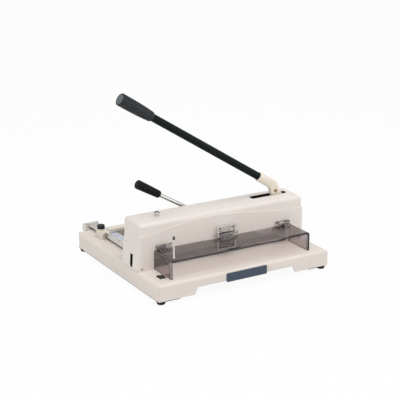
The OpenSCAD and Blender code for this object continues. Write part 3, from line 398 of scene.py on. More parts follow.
def screw_form(profile, recess, depth, sides=24):
    """A screw turned down from the top of its head, with a recess of an outline and depth cut in."""
    form = bmesh.new()
    form.faces.layers.float.new("edge")
    rings = [ring_at(form, radius, height, sides) for radius, height in profile]
    bridge(form, rings, (0,))
    form.faces.new(rings[-1])
    top = profile[0][1]
    mouth, bottom = [[form.verts.new((x * MM, y * MM, height * MM)) for x, y in recess]
                     for height in (top, top - depth)]
    bridge(form, [mouth, bottom])
    form.faces.new(bottom)
    rim = [form.edges.get((ring[i], ring[(i + 1) % len(ring)]))
           for ring in (rings[0], mouth) for i in range(len(ring))]
    bmesh.ops.triangle_fill(form, use_beauty=True, use_dissolve=False, edges=rim)
    bmesh.ops.recalc_face_normals(form, faces=form.faces)
    return form


plated_steel = finish("zinc_plated_screw", (196, 192, 182), 0.3, 1.0, tone=0.08, patch=120, depth=0.015,
                      edge_wear_and_highlight=(120, 116, 108), marks=0.12)


def plated_screws(name, profile, recess, places, body, node, seed, facing=FACING_UP):
    """Zinc plated screws, each tightened to another angle; a recess has its reach, width and depth."""
    reach, width, depth = recess
    form = screw_form(profile, cross(reach, width), depth)
    set_out(name, form, places, facing, plated_steel, body, node, TURN, seed)


black_rubber = finish("black_rubber", (24, 24, 26), 0.72, grain=2600, depth=0.05, tone=0.12)
foot_form = turned([(2.2, 0), (2.2, -3.5), (5, -3.5), (5, -6.6), (5.4, -7), (9.2, -7), (9.7, -6.5),
                    (10.5, -2), (11, -1.6), (11, 0), (2.2, 0)], edges=(5,))
set_out("feet", foot_form, [(x, y, 0) for x, y in FEET], FACING_UP, black_rubber, "frame",
        "rubber_feet")
plated_screws("foot_fixings", [(3.6, 0), (4.2, -0.5), (4.2, -2.5), (1.65, -2.5), (1.65, -19.5), (1.0, -20)],
              (4.4, 1.0, 1.6), [(x, y, FOOT_SCREW_HEAD) for x, y in FEET], "frame", "foot_screws", 4,
              FACING_DOWN)

# Base box. One cream injection moulding with the deck, the wells and the long hand hold in its front.
# It drops over the base plate; its skin has a fine spark-eroded grain, and its rounded edges are painted
# lighter: a painted highlight along them, with some polish from hands.
# The lighter edge colour is a painted highlight along the rounded edges.
cream_base = finish("cream_base_moulding", (226, 217, 209), 0.44, tone=0.025, patch=9, grain=2200,
                    depth=0.02, edge_wear_and_highlight=(234, 228, 223))
dressed("base_casing", "base_box", cream_base, 0.5, 3)

# Grip plate. A slate plastic plate clipped over the lower edge of the front, where the fingers lift.
# It has rounded corners and a slightly coarser grain than the box.
slate_plastic = finish("slate_grip_plastic", (57, 71, 89), 0.5, tone=0.07, patch=30, grain=1700, depth=0.05,
                       edge_wear_and_highlight=(104, 116, 130))
dressed("front_grip_plate", "grip_plate", slate_plastic, 0.6, 3)

# Switch. A snap-in black rocker switch for the line lamp, in a well of the deck's front left corner.
# Its frame is glossy polyamide; the rocker tips about a pin and carries a printed bar and ring.
SWITCH_PIN = (32, 47, 42)
ROCKER_TIP = math.radians(8)
ROCKER_DISH = math.atan2(1.4, 7.6)
PRINT_REACH = 4.4
PRINT_RISE = 3.06
gloss_black = finish("gloss_black_switch", (26, 26, 28), 0.24, tone=0.1, grain=2600, depth=0.008,
                     edge_wear_and_highlight=(90, 90, 92), marks=0.2)
dressed("switch_bezel", "switch_frame", gloss_black, 0.3)
dressed("switch_rocker", "switch_key", gloss_black, 0.25)
white_print = finish("white_pad_print", (214, 214, 208), 0.5, tone=0.06, patch=300, depth=0.004)


def ring_mark(outer, inner, sides=32):
    """A flat printed ring."""
    form = bmesh.new()
    bridge(form, [ring_at(form, radius, 0, sides) for radius in (outer, inner)])
    return form


def bar_mark(wide, long):
    """A flat printed bar."""
    form = bmesh.new()
    w, l = wide * MM / 2, long * MM / 2
    form.faces.new([form.verts.new(point) for point in ((-w, -l, 0), (w, -l, 0), (w, l, 0), (-w, l, 0))])
    return form


for mark_name, mark, side in (("switch_on_mark", bar_mark(0.7, 3.4), -1),
                              ("switch_off_mark", ring_mark(1.9, 1.3), 1)):
    mark.transform(Matrix.Translation(corner(*SWITCH_PIN)) @ Matrix.Rotation(ROCKER_TIP, 4, "X")
                   @ Matrix.Translation(Vector((0, side * PRINT_REACH, PRINT_RISE)) * MM)
                   @ Matrix.Rotation(side * ROCKER_DISH, 4, "X"))
    finished(mark, mark_name, white_print, "rocker")

# Table beam. A ribbed iron casting under the cut, bolted into the base; it carries everything above.
# The cutting stick lies in its groove: a red plastic strip, lightly scored where the edge has met it.
ALONG_X = (40.0, 1500.0, 1500.0)
cast_iron = finish("painted_cast_iron", (96, 98, 101), 0.58, tone=0.1, patch=40, grain=420, depth=0.2,
                   edge_wear_and_highlight=(140, 140, 138), edge_wear_and_highlight_amount=0.3)
dressed("table_beam", "cast_beam", cast_iron, 0.6)
red_stick = finish("red_cutting_stick", (142, 48, 42), 0.5, tone=0.12, patch=140, grain=1800, depth=0.05,
                   lines=ALONG_X, line_depth=0.08)
dressed("cutting_stick", "cutting_strip", red_stick, 0.3)

# Bed. A ground steel plate let into the deck behind the cut, where the stack lies.
# Six countersunk screws draw it down; its grinding lines run from side to side.
BED_SCREWS = [(x, y, 42.9) for x in (100, 240, 380) for y in (172, 390)]
ground_bed = finish("ground_bed_steel", (174, 169, 158), 0.42, 0.75, tone=0.08, patch=14, depth=0.01,
                    edge_wear_and_highlight=(208, 204, 196), edge_wear_and_highlight_amount=0.6, lines=ALONG_X, line_depth=0.03, marks=0.15)
dressed("bed_plate", "stack_bed", ground_bed, 0.25)
plated_screws("bed_fixings", [(3.7, 0), (3.95, -0.15), (2.0, -2.1), (1.95, -9.6), (1.4, -10)],
              (4.4, 0.9, 1.3), BED_SCREWS, "frame", "bed_screws", 9)

# Frame. Two steel cheeks stand on the beam at the ends of the throat, and two plates join them.
# The front plate has the slanted slots that draw the knife sideways; countersunk bolts hold the frame.
# The phosphated steel is kept near black, partly so that the cheeks seen through the blade's slot give
# painted shade there.
frame_steel_and_slot_shade = finish("phosphated_frame_steel_and_slot_shade", (30, 31, 33), 0.6, tone=0.14, patch=25, grain=1200, depth=0.04,
                    edge_wear_and_highlight=(104, 102, 98), shine=0.25)
ground_steel = finish("ground_frame_steel", (132, 133, 136), 0.36, 0.9, tone=0.08, patch=20, depth=0.02,
                      edge_wear_and_highlight=(196, 196, 194), edge_wear_and_highlight_amount=0.5, lines=ALONG_X, line_depth=0.03)
for cheek_side in ("left", "right"):
    dressed(cheek_side + "_cheek", cheek_side + "_upright", frame_steel_and_slot_shade, 0.4)
dressed("front_frame_plate", "slotted_plate", ground_steel, 0.4)
dressed("rear_frame_plate", "bearing_plate", frame_steel_and_slot_shade, 0.4)
black_bolt = finish("blackened_bolt", (44, 44, 46), 0.4, 0.6, tone=0.14, patch=150, depth=0.02,
                    edge_wear_and_highlight=(120, 118, 114))
dressed("frame_bolts", "frame_fixings", black_bolt, 0.2)

# Knife drive. A ground shaft in bronze bushes turns with the cutting lever, and has a crank near its
# front end. The crank's roller pushes the knife carrier; a ring keeps the shaft in place.
ALONG_Y = (1500.0, 40.0, 1500.0)
bronze = finish("sintered_bronze", (186, 150, 96), 0.42, 1.0, tone=0.1, patch=90, grain=1600, depth=0.04)
ground_shaft = finish("ground_shaft_steel", (186, 187, 190), 0.22, 1.0, tone=0.05, patch=60, depth=0.008,
                      lines=ALONG_Y, line_depth=0.006, marks=0.12)
crank_steel = finish("forged_crank_steel", (112, 113, 117), 0.44, 0.8, tone=0.12, patch=60, grain=700,
                     depth=0.08, edge_wear_and_highlight=(176, 176, 174), edge_wear_and_highlight_amount=0.5)
dressed("shaft_bushes", "bronze_bushes", bronze, 0.25)
dressed("knife_shaft", "drive_shaft", ground_shaft, 0.6)
dressed("shaft_ring", "retaining_ring", black_bolt, 0.1)
dressed("knife_crank", "drive_crank", crank_steel, 0.5)
dressed("crank_roller", "drive_roller", ground_shaft, 0.3)

# Knife. A high-speed steel blade with a ground bevel, screwed behind a sliding steel carrier.
# Two rollers on the carrier run in the slanted slots.
ALONG_Z = (1500.0, 1500.0, 40.0)
blade_steel = finish("ground_blade_steel", (206, 208, 212), 0.16, 1.0, tone=0.05, patch=30, depth=0.004,
                     lines=ALONG_Z, line_depth=0.012, marks=0.15)
dressed("knife_carrier", "blade_carrier", ground_steel, 0.3)
dressed("knife_blade", "cutting_blade", blade_steel, 0.0)
dressed("blade_screws", "blade_fixings", black_bolt, 0.2)
dressed("guide_rollers", "slot_rollers", ground_shaft, 0.3)

# Clamp. A second shaft works the clamp bar through its own crank and roller.
# The bar is ground steel with a black plastic pad that meets the paper.
black_pad = finish("black_clamp_pad", (40, 40, 42), 0.62, tone=0.1, grain=2000, depth=0.05)
dressed("clamp_shaft", "clamp_spindle", ground_shaft, 0.5)
dressed("clamp_crank", "clamp_arm", crank_steel, 0.4)
dressed("clamp_roller", "clamp_follower", ground_shaft, 0.3)
dressed("pressure_bar", "clamp_bar", ground_steel, 0.35)
dressed("pressure_pad", "clamp_bar_pad", black_pad, 0.3)

# Line lamp. A slim strip of light emitters behind a frosted lens, held low between the housing's front
# and the front plate. It throws the line where the edge will fall; here it is switched off.
frosted_lens = finish("frosted_lamp_lens", (222, 226, 220), 0.6, tone=0.05, patch=60, depth=0.04)
dressed("line_lamp", "lamp_strip", frosted_lens, 0.3)

# Housing. A cream moulded hood over the whole drive, with an arched step across its front and a flat
# closing panel behind, both screwed on. Its rounded edges are painted lighter, a painted highlight along
# them.
# The walls of the blade's slot in its left end and of the lever's slot in its top are painted near black:
# painted shade.
SLOT_BOXES = (
    ((0.35, 130.6, 45.4), (9.0, 144.1, 79.1)),
    ((347.0, 141.4, 152.0), (453.8, 162.8, 157.9)),
)
# The lighter edge colour is a painted highlight along the rounded edges.
cream_housing = finish("cream_housing_moulding", (229, 221, 215), 0.42, tone=0.02, patch=8, grain=2200,
                       depth=0.02, edge_wear_and_highlight=(236, 230, 226))
# Near black for the slot walls: painted shade for the dark inside of the slots.
slot_painted_shade = finish("painted_slot_shade", (22, 22, 24), 0.7, tone=0.1, grain=1500, depth=0.03, shine=0.2)


def repainted(piece, material, chosen):
    """Gives a second finish to the faces that a test of their middle, in millimetres, and direction picks."""
    piece.data.materials.append(material)
    for face in piece.data.polygons:
        if chosen(face.center / MM + BASE_MIDDLE, face.normal):
            face.material_index = 1


def in_slot(spot, facing):
    """Whether a face is a wall of one of the two slots."""
    return any(all(low <= here <= high for low, here, high in zip(near, spot, far))
               for near, far in SLOT_BOXES)


hood = dressed("housing_cover", "housing_hood", cream_housing, 0.6, 3)
# The slot walls get the near black painted shade.
repainted(hood, slot_painted_shade, in_slot)
dressed("rear_cover", "closing_panel", cream_housing, 0.5)
dressed("cover_screws", "hood_fixings", plated_steel, 0.35)

# Lever casting. A cream painted iron elbow, round at its mouth where the tube is pushed in
# and flattening to an arm that goes down through the slot to the knife shaft.
ARM_PLANE = 152.0
LEVER_RISE = math.radians(32.2)
LEVER_ALONG = Vector((-math.cos(LEVER_RISE), 0, math.sin(LEVER_RISE)))
LEVER_UP = Vector((math.sin(LEVER_RISE), 0, math.cos(LEVER_RISE)))
MOUTH = Vector((370, ARM_PLANE, 210.8))
PIVOT = (440, ARM_PLANE, 123)
SOCKET_RADIUS = 9.6
SOCKET_DEPTH = 13.0
CAST_SIDES = 40
CAST_CREASE = math.radians(50)
# distance out along the lever, radius
MOUTH_RIM = [(-SOCKET_DEPTH, SOCKET_RADIUS), (1.7, SOCKET_RADIUS), (2.15, SOCKET_RADIUS + 0.4), (2.2, 10.7),
             (1.7, 11.4), (0.9, 11.9)]
# outer edge x, z; inner edge x, z; half thickness; squareness of the section, 2 is round
ARM_STATIONS = [
    (376.4, 220.95, 363.6, 200.65, 12.0, 2.0), (384.9, 215.6, 372.1, 195.3, 12.0, 2.0),
    (393.3, 210.3, 380.5, 190.0, 11.7, 2.1), (401.8, 205.0, 389.2, 184.6, 10.4, 2.4),
    (410.4, 199.5, 396.0, 180.2, 9.0, 3.0), (418.2, 194.3, 401.0, 176.6, 8.0, 3.8),
    (423.4, 188.4, 403.6, 170.5, 7.6, 4.6), (428.6, 178.0, 405.2, 162.5, 7.5, 5.5),
    (434.6, 166.0, 408.2, 154.5, 7.5, 6.0), (441.5, 151.4, 414.4, 142.0, 7.5, 6.0),
    (447.8, 138.5, 420.2, 131.0, 7.5, 6.0), (453.5, 127.0, 426.2, 119.8, 7.5, 6.0),
]
STEPS_BETWEEN = 3


def smooth_stations(stations, steps):
    """Stations between the given ones on a smooth curve through them."""
    ends = [stations[0], *stations, stations[-1]]
    out = []
    for near in zip(ends, ends[1:], ends[2:], ends[3:]):
        for step in range(steps):
            t = step / steps
            out.append([0.5 * (2 * b + (c - a) * t + (2 * a - 5 * b + 4 * c - d) * t ** 2
                               + (3 * b - a - 3 * c + d) * t ** 3) for a, b, c, d in zip(*near)])
    return out + [stations[-1]]


def rounded_ring(form, station, sides):
    """One section of the arm: round or squared off, across the line from its inner to its outer edge."""
    outer_x, outer_z, inner_x, inner_z, thick, square = station
    outer, inner = Vector((outer_x, ARM_PLANE, outer_z)), Vector((inner_x, ARM_PLANE, inner_z))
    middle, half = (outer + inner) / 2, (outer - inner) / 2
    ring = []
    for step in range(sides):
        angle = TURN * step / sides
        across, along = [math.copysign(abs(share) ** (2 / square), share)
                         for share in (math.cos(angle), math.sin(angle))]
        ring.append(form.verts.new(corner(*(middle + half * across + Vector((0, thick * along, 0))))))
    return ring


def mouth_ring(form, out, radius, sides):
    """A ring round the tube's axis, a distance out from the mouth."""
    centre = MOUTH + LEVER_ALONG * out
    ring = []
    for step in range(sides):
        angle = TURN * step / sides
        outwards = LEVER_UP * math.cos(angle) + Vector((0, 1, 0)) * math.sin(angle)
        ring.append(form.verts.new(corner(*(centre + radius * outwards))))
    return ring


def stood(form, place, along):
    """Stands a turned form at a corner point with its Z along a direction."""
    turn = Vector(along).to_track_quat("Z", "Y").to_matrix().to_4x4()
    form.transform(Matrix.Translation(corner(*place)) @ turn)
    return form


elbow = bmesh.new()
elbow.faces.layers.float.new("edge")
elbow_rings = [mouth_ring(elbow, out, radius, CAST_SIDES) for out, radius in MOUTH_RIM]
elbow_rings += [rounded_ring(elbow, station, CAST_SIDES)
                for station in smooth_stations(ARM_STATIONS, STEPS_BETWEEN)]
bridge(elbow, elbow_rings, (2, 3, 4))
elbow.faces.new(elbow_rings[0])
elbow.faces.new(elbow_rings[-1])
bmesh.ops.recalc_face_normals(elbow, faces=elbow.faces)
hub = stood(turned([(9.05, -7.5), (13.7, -7.5), (14.5, -6.7), (14.5, 6.7), (13.7, 7.5), (9.05, 7.5),
                    (9.05, -7.5)]), PIVOT, (0, 1, 0))
added(elbow, mesh_of(hub, "lever_hub"))
cream_casting = finish("cream_casting_paint", (234, 224, 208), 0.4, tone=0.035, patch=45, grain=520,
                       depth=0.09, edge_wear_and_highlight=(188, 176, 158), edge_wear_and_highlight_amount=0.3)
finished(elbow, "lever_elbow", cream_casting, "lever", "lever_casting", CAST_CREASE)

# Cross bolt. A six-sided steel bolt across the elbow pinches it on the tube.
# It has browned with oil.
browned_bolt = finish("browned_bolt", (150, 128, 98), 0.36, 1.0, tone=0.14, patch=160, depth=0.02,
                      edge_wear_and_highlight=(190, 176, 150))
dressed("lever_bolt", "elbow_bolt", browned_bolt, 0.35)

# Lever tube. A steel tube in a tight black sleeve, smooth and a little glossy.
# Its lower end is pushed into the elbow and its upper end into the grip.
TUBE_RADIUS = 9.5
TUBE_TOP = 444.0
tube_sleeve = finish("black_tube_sleeve", (17, 25, 26), 0.3, tone=0.12, patch=35, grain=1500, depth=0.008,
                     marks=0.05, shine=0.1)
tube = turned([(7.0, -13.5), (9.2, -13.5), (TUBE_RADIUS, -13.2)]
              + [(TUBE_RADIUS, height) for height in range(10, 440, 30)]
              + [(TUBE_RADIUS, TUBE_TOP - 0.3), (9.2, TUBE_TOP), (7.0, TUBE_TOP), (7.0, -13.5)], 64)
finished(stood(tube, MOUTH, LEVER_ALONG), "lever_sleeve", tube_sleeve, "lever", "lever_tube")

# Lever grip. A pushed-on moulded grip: a stepped foot, a slow swell and a flat end with a round rim.
# The flat end is duller and painted a lighter grey, a painted highlight for the light it faces; the rims at
# the foot step and the end are painted darker, and the palm has polished the barrel.
GRIP_START = 356.0
GRIP_END = 95.4
ALMOST_ALONG = 0.98
handgrip_black = finish("black_handgrip_moulding", (31, 37, 42), 0.42, tone=0.16, patch=28, grain=1300,
                        depth=0.05, edge_wear_and_highlight=(20, 23, 26), edge_wear_and_highlight_amount=0.6, marks=0.1, shine=0.35)
# Lighter grey for the flat end: a painted highlight.
grip_end_painted_highlight = finish("painted_handgrip_end_highlight", (90, 101, 103), 0.6, tone=0.1, patch=60, grain=1300, depth=0.05)
grip = turned([(9.56, 0), (11.0, 0), (11.5, 0.3), (12.2, 1.5), (12.55, 4), (12.9, 7), (13.2, 11.2),
               (13.7, 18), (14.2, 26), (14.6, 34), (14.9, 42), (15.15, 52), (15.35, 63), (15.5, 74.4),
               (15.5, 93), (15.3, 94.2), (14.6, 95.2), (13.6, 95.8), (12.5, 96), (12.2, 95.7),
               (11.8, 95.6), (0, 95.6)], 72, edges=(2, 3, 14, 15, 16, 17))


def on_grip_end(spot, facing):
    """Whether a face belongs to the grip's flat end."""
    out = (spot - MOUTH).dot(LEVER_ALONG)
    return out > GRIP_START + GRIP_END and facing.dot(LEVER_ALONG) > ALMOST_ALONG


handgrip = finished(stood(grip, MOUTH + LEVER_ALONG * GRIP_START, LEVER_ALONG), "lever_handgrip",
                    handgrip_black, "lever", "lever_grip")
repainted(handgrip, grip_end_painted_highlight, on_grip_end)

# Clamp lever. A black moulded hub on the clamp spindle, a chromed rod screwed into it
# and a small tapered grip with a rounded end.
CLAMP_RISE = math.radians(30.7)
CLAMP_ALONG = Vector((-math.cos(CLAMP_RISE), 0, math.sin(CLAMP_RISE)))
CLAMP_PIVOT = Vector((250, 198, 110))
CLAMP_REACH = 231.4
CLAMP_GRIP_LONG = 70.0
chrome = finish("bright_chrome", (214, 213, 212), 0.09, 1.0, tone=0.03, patch=60, grain=1500, depth=0.003,
                spread=0.02, marks=0.1)
grip_black = finish("black_grip_moulding", (11, 15, 16), 0.36, tone=0.14, patch=40, grain=1300, depth=0.04,
                    edge_wear_and_highlight=(56, 62, 64), marks=0.1, shine=0.14)
hub_black = finish("black_hub_moulding", (34, 35, 37), 0.42, tone=0.1, grain=1600, depth=0.04,
                   edge_wear_and_highlight=(86, 86, 88))
dressed("clamp_hub", "clamp_lever_hub", hub_black, 0.5, 3)
clamp_rod_form = turned([(0, 9)] + [(5, height) for height in (9.1, 40, 80, 120, 160, 200, 219.6)]
                        + [(0, 220.4)])
finished(stood(clamp_rod_form, CLAMP_PIVOT, CLAMP_ALONG), "clamp_lever_rod", chrome, "clamp",
         "clamp_rod")
clamp_grip_form = turned([(5.06, 0), (8.0, 0), (8.5, 0.3), (9.3, 1.5), (9.6, 6), (10.1, 20), (10.6, 36),
                          (11.05, 52), (11.5, 66), (11.35, 67.6), (10.8, 68.8), (9.9, 69.6), (8.5, 70),
                          (8.1, 69.6), (7.8, 69.5), (0, 69.5)], 60, edges=(2, 3, 8, 9, 10, 11))
finished(stood(clamp_grip_form, CLAMP_PIVOT + CLAMP_ALONG * (CLAMP_REACH - CLAMP_GRIP_LONG), CLAMP_ALONG),
         "clamp_lever_grip", grip_black, "clamp", "clamp_grip")

# Stop screw. A chromed screw through the top of the housing sets how far the clamp bar opens.
# Its head is knurled round the side and slightly domed.
STOP_SCREW = (76, 146, 158.6)
UPRIGHT = (0, 0, 1)


def fluted_tree():
    """Draws the marked rows of a turned form in, along evenly spaced flutes round its axis."""
    tree, given, result = named_tree("GeometryNodeTree", "fluted", [
        ("Form", "Geometry"), ("Flutes", "Int"), ("Depth", "Float"), ("Sharpness", "Float"),
        ("Finish", "Material")], [("Pieces", "Geometry")])
    place = add_node(tree, "GeometryNodeInputPosition")
    parts = add_node(tree, "ShaderNodeSeparateXYZ", {0: place.outputs[0]})
    marked = add_node(tree, "GeometryNodeInputNamedAttribute", {"Name": "fluted"}, data_type="FLOAT")
    angle = worked(tree, "ARCTAN2", parts.outputs["Y"], parts.outputs["X"])
    wave = worked(tree, "COSINE", worked(tree, "MULTIPLY", angle, given["Flutes"]))
    wave = worked(tree, "POWER", worked(tree, "MAXIMUM", wave, 0.0), given["Sharpness"])
    drawn_in = worked(tree, "MULTIPLY", wave, marked.outputs["Attribute"])
    drawn_in = worked(tree, "MULTIPLY", worked(tree, "MULTIPLY", drawn_in, given["Depth"]), -1.0)
    outward = add_node(tree, "ShaderNodeCombineXYZ",
                       {"X": worked(tree, "COSINE", angle), "Y": worked(tree, "SINE", angle)})
    moved = add_node(tree, "ShaderNodeVectorMath", {0: outward.outputs[0], "Scale": drawn_in},
                     operation="SCALE")
    shift = add_node(tree, "GeometryNodeSetPosition", {
        "Geometry": given["Form"], "Offset": moved.outputs[0]})
    return realized(tree, shift.outputs["Geometry"], given["Finish"], result)


FLUTED = fluted_tree()


def fluted(name, form, flutes, depth, sharpness, material):
    """A turned form with its marked rows drawn in as flutes or knurls."""
    return grown(name, mesh_of(form, name + "_turned"), FLUTED, {
        "Flutes": flutes, "Depth": depth * MM, "Sharpness": sharpness, "Finish": material})


stop_form = turned([(0, -53), (3, -52.6), (3, 0), (6.4, 0), (7.0, 0.8), (7.0, 1.6), (7.0, 8.0), (7.0, 8.8),
                    (6.2, 10.2), (4.6, 11.0), (2.4, 11.35), (0, 11.4)], 216, edges=(4, 7), flutes=(5, 6))
finished(stood(fluted("stop_screw_head", stop_form, 36, 0.32, 1.0, chrome), STOP_SCREW, UPRIGHT),
         "bar_stop_screw", chrome, "stop", "stop_screw")

# Gauge rail. A bright folded steel rail at the deck's left, with a lip over the carriage's clamp groove,
# whose inner wall and roof are painted near black, painted shade under the lip. A pressed bracket closes
# its rear end; three countersunk screws hold it.
RAIL_SCREWS = [(55.4, y, 48.9) for y in (200, 310, 428)]
GROOVE_LEFT = 39.8
GROOVE_LOW = 43.5
TURNED_AWAY = -0.5
bright_rail = finish("bright_rail_steel", (228, 224, 219), 0.4, 0.5, tone=0.05, patch=40, depth=0.006,
                     lines=ALONG_Y, line_depth=0.004, edge_wear_and_highlight=(170, 168, 162), marks=0.1)
# Near black in the groove under the lip: painted shade.
groove_painted_shade = finish("painted_groove_shade", (24, 23, 22), 0.5, tone=0.2, patch=200, grain=600, depth=0.1)


def in_groove(spot, facing):
    """Whether a face is the inner wall or the roof of the groove under the lip."""
    wall = facing.x < TURNED_AWAY
    roof = facing.z < TURNED_AWAY and spot.z > GROOVE_LOW
    return spot.x > GROOVE_LEFT and (wall or roof)


rail = dressed("gauge_rail", "gauge_guide_rail", bright_rail, 0.25)
# The groove's wall and roof get the near black painted shade.
repainted(rail, groove_painted_shade, in_groove)
dressed("rail_end_bracket", "rail_end_plate", bright_rail, 0.4)
plated_screws("rail_fixings", [(2.7, 0), (2.95, -0.15), (1.5, -1.6), (1.45, -13.6), (1.0, -13.9)],
              (3.2, 0.7, 0.9), RAIL_SCREWS, "frame", "rail_screws", 2)

# Scale. A pale blue printed strip beside the rail, in steps of a millimetre with plain numbers in
# centimetres from the cut. Coarser marks are printed on the deck at the rail's other side.
CUT_LINE = 134.0
INK_LIFT = 0.02
RULER_EDGE = 82.6
RULER_TOP = 43.8
FIRST_MARK = 60
RULER_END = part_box("ruler_strip")[1][1] / MM + BASE_MIDDLE.y - CUT_LINE
FIGURE_SIZE = 5.0
FIGURES_RIGHT = RULER_EDGE - 7.2
DECK_TOP = 43
DECK_MARKS_START = (38.9, CUT_LINE + 80, DECK_TOP + INK_LIFT)
DECK_MARKS = 46


def scale_tree():
    """A row of printed marks: every fifth longer and every tenth longest, from one edge inwards."""
    tree, given, result = named_tree("GeometryNodeTree", "scale_marks", [
        ("Base", "Geometry"), ("Count", "Int"), ("Start", "Vector"), ("Step", "Vector"), ("Short", "Float"),
        ("Middle", "Float"), ("Long", "Float"), ("Width", "Float"), ("Ink", "Material")],
        [("Marks", "Geometry")])
    number = add_node(tree, "GeometryNodeInputIndex").outputs[0]
    reach = given["Short"]
    for every, longer, shorter in ((5.0, "Middle", "Short"), (10.0, "Long", "Middle")):
        chosen = worked(tree, "LESS_THAN", worked(tree, "MODULO", number, every), 0.5)
        more = worked(tree, "SUBTRACT", given[longer], given[shorter])
        reach = worked(tree, "ADD", reach, worked(tree, "MULTIPLY", chosen, more))
    size = add_node(tree, "ShaderNodeCombineXYZ", {"X": reach, "Y": given["Width"], "Z": 1.0})
    line = add_node(tree, "GeometryNodeMeshLine", {
        "Count": given["Count"], "Start Location": given["Start"], "Offset": given["Step"]})
    mark = add_node(tree, "GeometryNodeMeshGrid", {
        "Size X": 1.0, "Size Y": 1.0, "Vertices X": 2, "Vertices Y": 2})
    hung = add_node(tree, "GeometryNodeTransform", {
        "Geometry": mark.outputs["Mesh"], "Translation": (-0.5, 0, 0)})
    place = add_node(tree, "GeometryNodeInstanceOnPoints", {
        "Points": line.outputs["Mesh"], "Instance": hung.outputs["Geometry"], "Scale": size.outputs[0]})
    return realized(tree, place.outputs["Instances"], given["Ink"], result)


SCALE_MARKS = scale_tree()


def scale_marks(name, start, step, count, lengths, width, ink):
    """A printed row of marks from a corner point on, with its short, middle and long marks' lengths."""
    short, middle, long = [length * MM for length in lengths]
    form = grown(name, bpy.data.meshes.new(name + "_start"), SCALE_MARKS, {
        "Count": count, "Start": corner(*start), "Step": Vector((0, step, 0)) * MM, "Short": short,
        "Middle": middle, "Long": long, "Width": width * MM, "Ink": ink})
    finished(form, name, ink, "frame")


ruler_face = finish("pale_blue_scale", (206, 212, 226), 0.3, tone=0.03, patch=40, depth=0.004, marks=0.15)
scale_ink = finish("dark_scale_ink", (76, 82, 96), 0.5, tone=0.1, patch=300, depth=0.002)
dressed("ruler_strip", "printed_scale", ruler_face, 0.1)
scale_marks("scale_fine_marks", (RULER_EDGE, CUT_LINE + FIRST_MARK, RULER_TOP + INK_LIFT), 1.0,
            int(RULER_END - FIRST_MARK), (2.6, 4.0, 6.2), 0.28, scale_ink)
deck_marks = finish("grey_deck_print", (96, 92, 90), 0.5, tone=0.1, patch=300, depth=0.002)
scale_marks("deck_side_marks", DECK_MARKS_START, 5.0, DECK_MARKS, (3.4, 3.4, 5.0), 0.6, deck_marks)
numbers = bmesh.new()
for centimetres in range(FIRST_MARK // 10, int(RULER_END / 10)):
    figure = bpy.data.curves.new("figure", "FONT")
    figure.body = str(centimetres)
    figure.size = FIGURE_SIZE * MM
    figure.align_x = "RIGHT"
    figure.align_y = "CENTER"
    figure.resolution_u = 3
    figure_object = placed("figure", figure)
    figure_graph = bpy.context.evaluated_depsgraph_get()
    figure_mesh = bpy.data.meshes.new_from_object(figure_object.evaluated_get(figure_graph))
    figure_mesh.transform(Matrix.Translation(
        corner(FIGURES_RIGHT, CUT_LINE + 10 * centimetres, RULER_TOP + INK_LIFT)))
    bpy.data.objects.remove(figure_object)
    bpy.data.curves.remove(figure)
    added(numbers, figure_mesh)
finished(numbers, "scale_numbers", scale_ink, "frame")

# Carriage and fence. Two cream painted castings: the carriage slides on the rail's lip, and the fence
# squares the stack. The carriage's tongue carries the index line that is read on the deck's marks.
INDEX_LINE = (31.4, 344.0, 44.5 + INK_LIFT)
cream_gauge = finish("cream_gauge_paint", (228, 220, 206), 0.42, tone=0.04, patch=40, grain=620, depth=0.07,
                     edge_wear_and_highlight=(178, 168, 152), edge_wear_and_highlight_amount=0.35)
dressed("gauge_carriage", "gauge_slide", cream_gauge, 0.6, 3)
dressed("gauge_fence", "gauge_bar", cream_gauge, 0.5, 3)
index_line = bar_mark(1.1, 13.0)
index_line.transform(Matrix.Translation(corner(*INDEX_LINE)))
finished(index_line, "index_line", scale_ink, "gauge")

# Clamping knob and bolt. A black moulded knob with ten finger flutes pulls a block up under the lip.
# In the carriage's front a round knurled nut squares the fence.
KNOB_SEAT = (36.5, 376.4, 65.3)
NUT_SEAT = (36.5, 350.7, 55)
knob_black = finish("black_knob_moulding", (24, 26, 28), 0.36, tone=0.12, grain=1800, depth=0.03,
                    edge_wear_and_highlight=(80, 82, 84), marks=0.1, shine=0.4)
knob_form = turned([(2.5, 0), (8.6, 0), (9.3, 0.4), (9.7, 1.2), (10.0, 2.6), (10.0, 5.5), (10.0, 8.0),
                    (9.8, 8.8), (9.2, 9.5), (8.2, 9.95), (7.0, 10.0), (6.2, 9.8), (5.6, 9.4), (0, 9.4)],
                   160, edges=(8, 9), flutes=(2, 3, 4, 5, 6, 7, 8))
finished(stood(fluted("knob_form", knob_form, 10, 1.15, 1.6, knob_black), KNOB_SEAT, UPRIGHT),
         "clamping_knob", knob_black, "knob", "gauge_knob")
dressed("gauge_bolt", "clamping_bolt", ground_shaft, 0.3)
nut_chrome = finish("dull_nut_chrome", (192, 184, 168), 0.18, 1.0, tone=0.1, patch=120, depth=0.006,
                    marks=0.25)
nut_form = turned([(1.6, -10), (2.5, -10), (2.5, 0), (5.7, 0), (6.15, 0.4), (6.25, 0.7), (6.25, 2.7),
                   (6.15, 3.0), (5.6, 3.3), (4.75, 3.35), (4.75, 4.6), (4.3, 5.1), (1.9, 5.15), (1.6, 4.8),
                   (1.6, -10)], 180, edges=(4, 7), flutes=(5, 6))
finished(stood(fluted("nut_form", nut_form, 30, 0.35, 1.0, nut_chrome), NUT_SEAT, (0, -1, 0)),
         "fence_squaring_nut", nut_chrome, "nut", "squaring_nut")

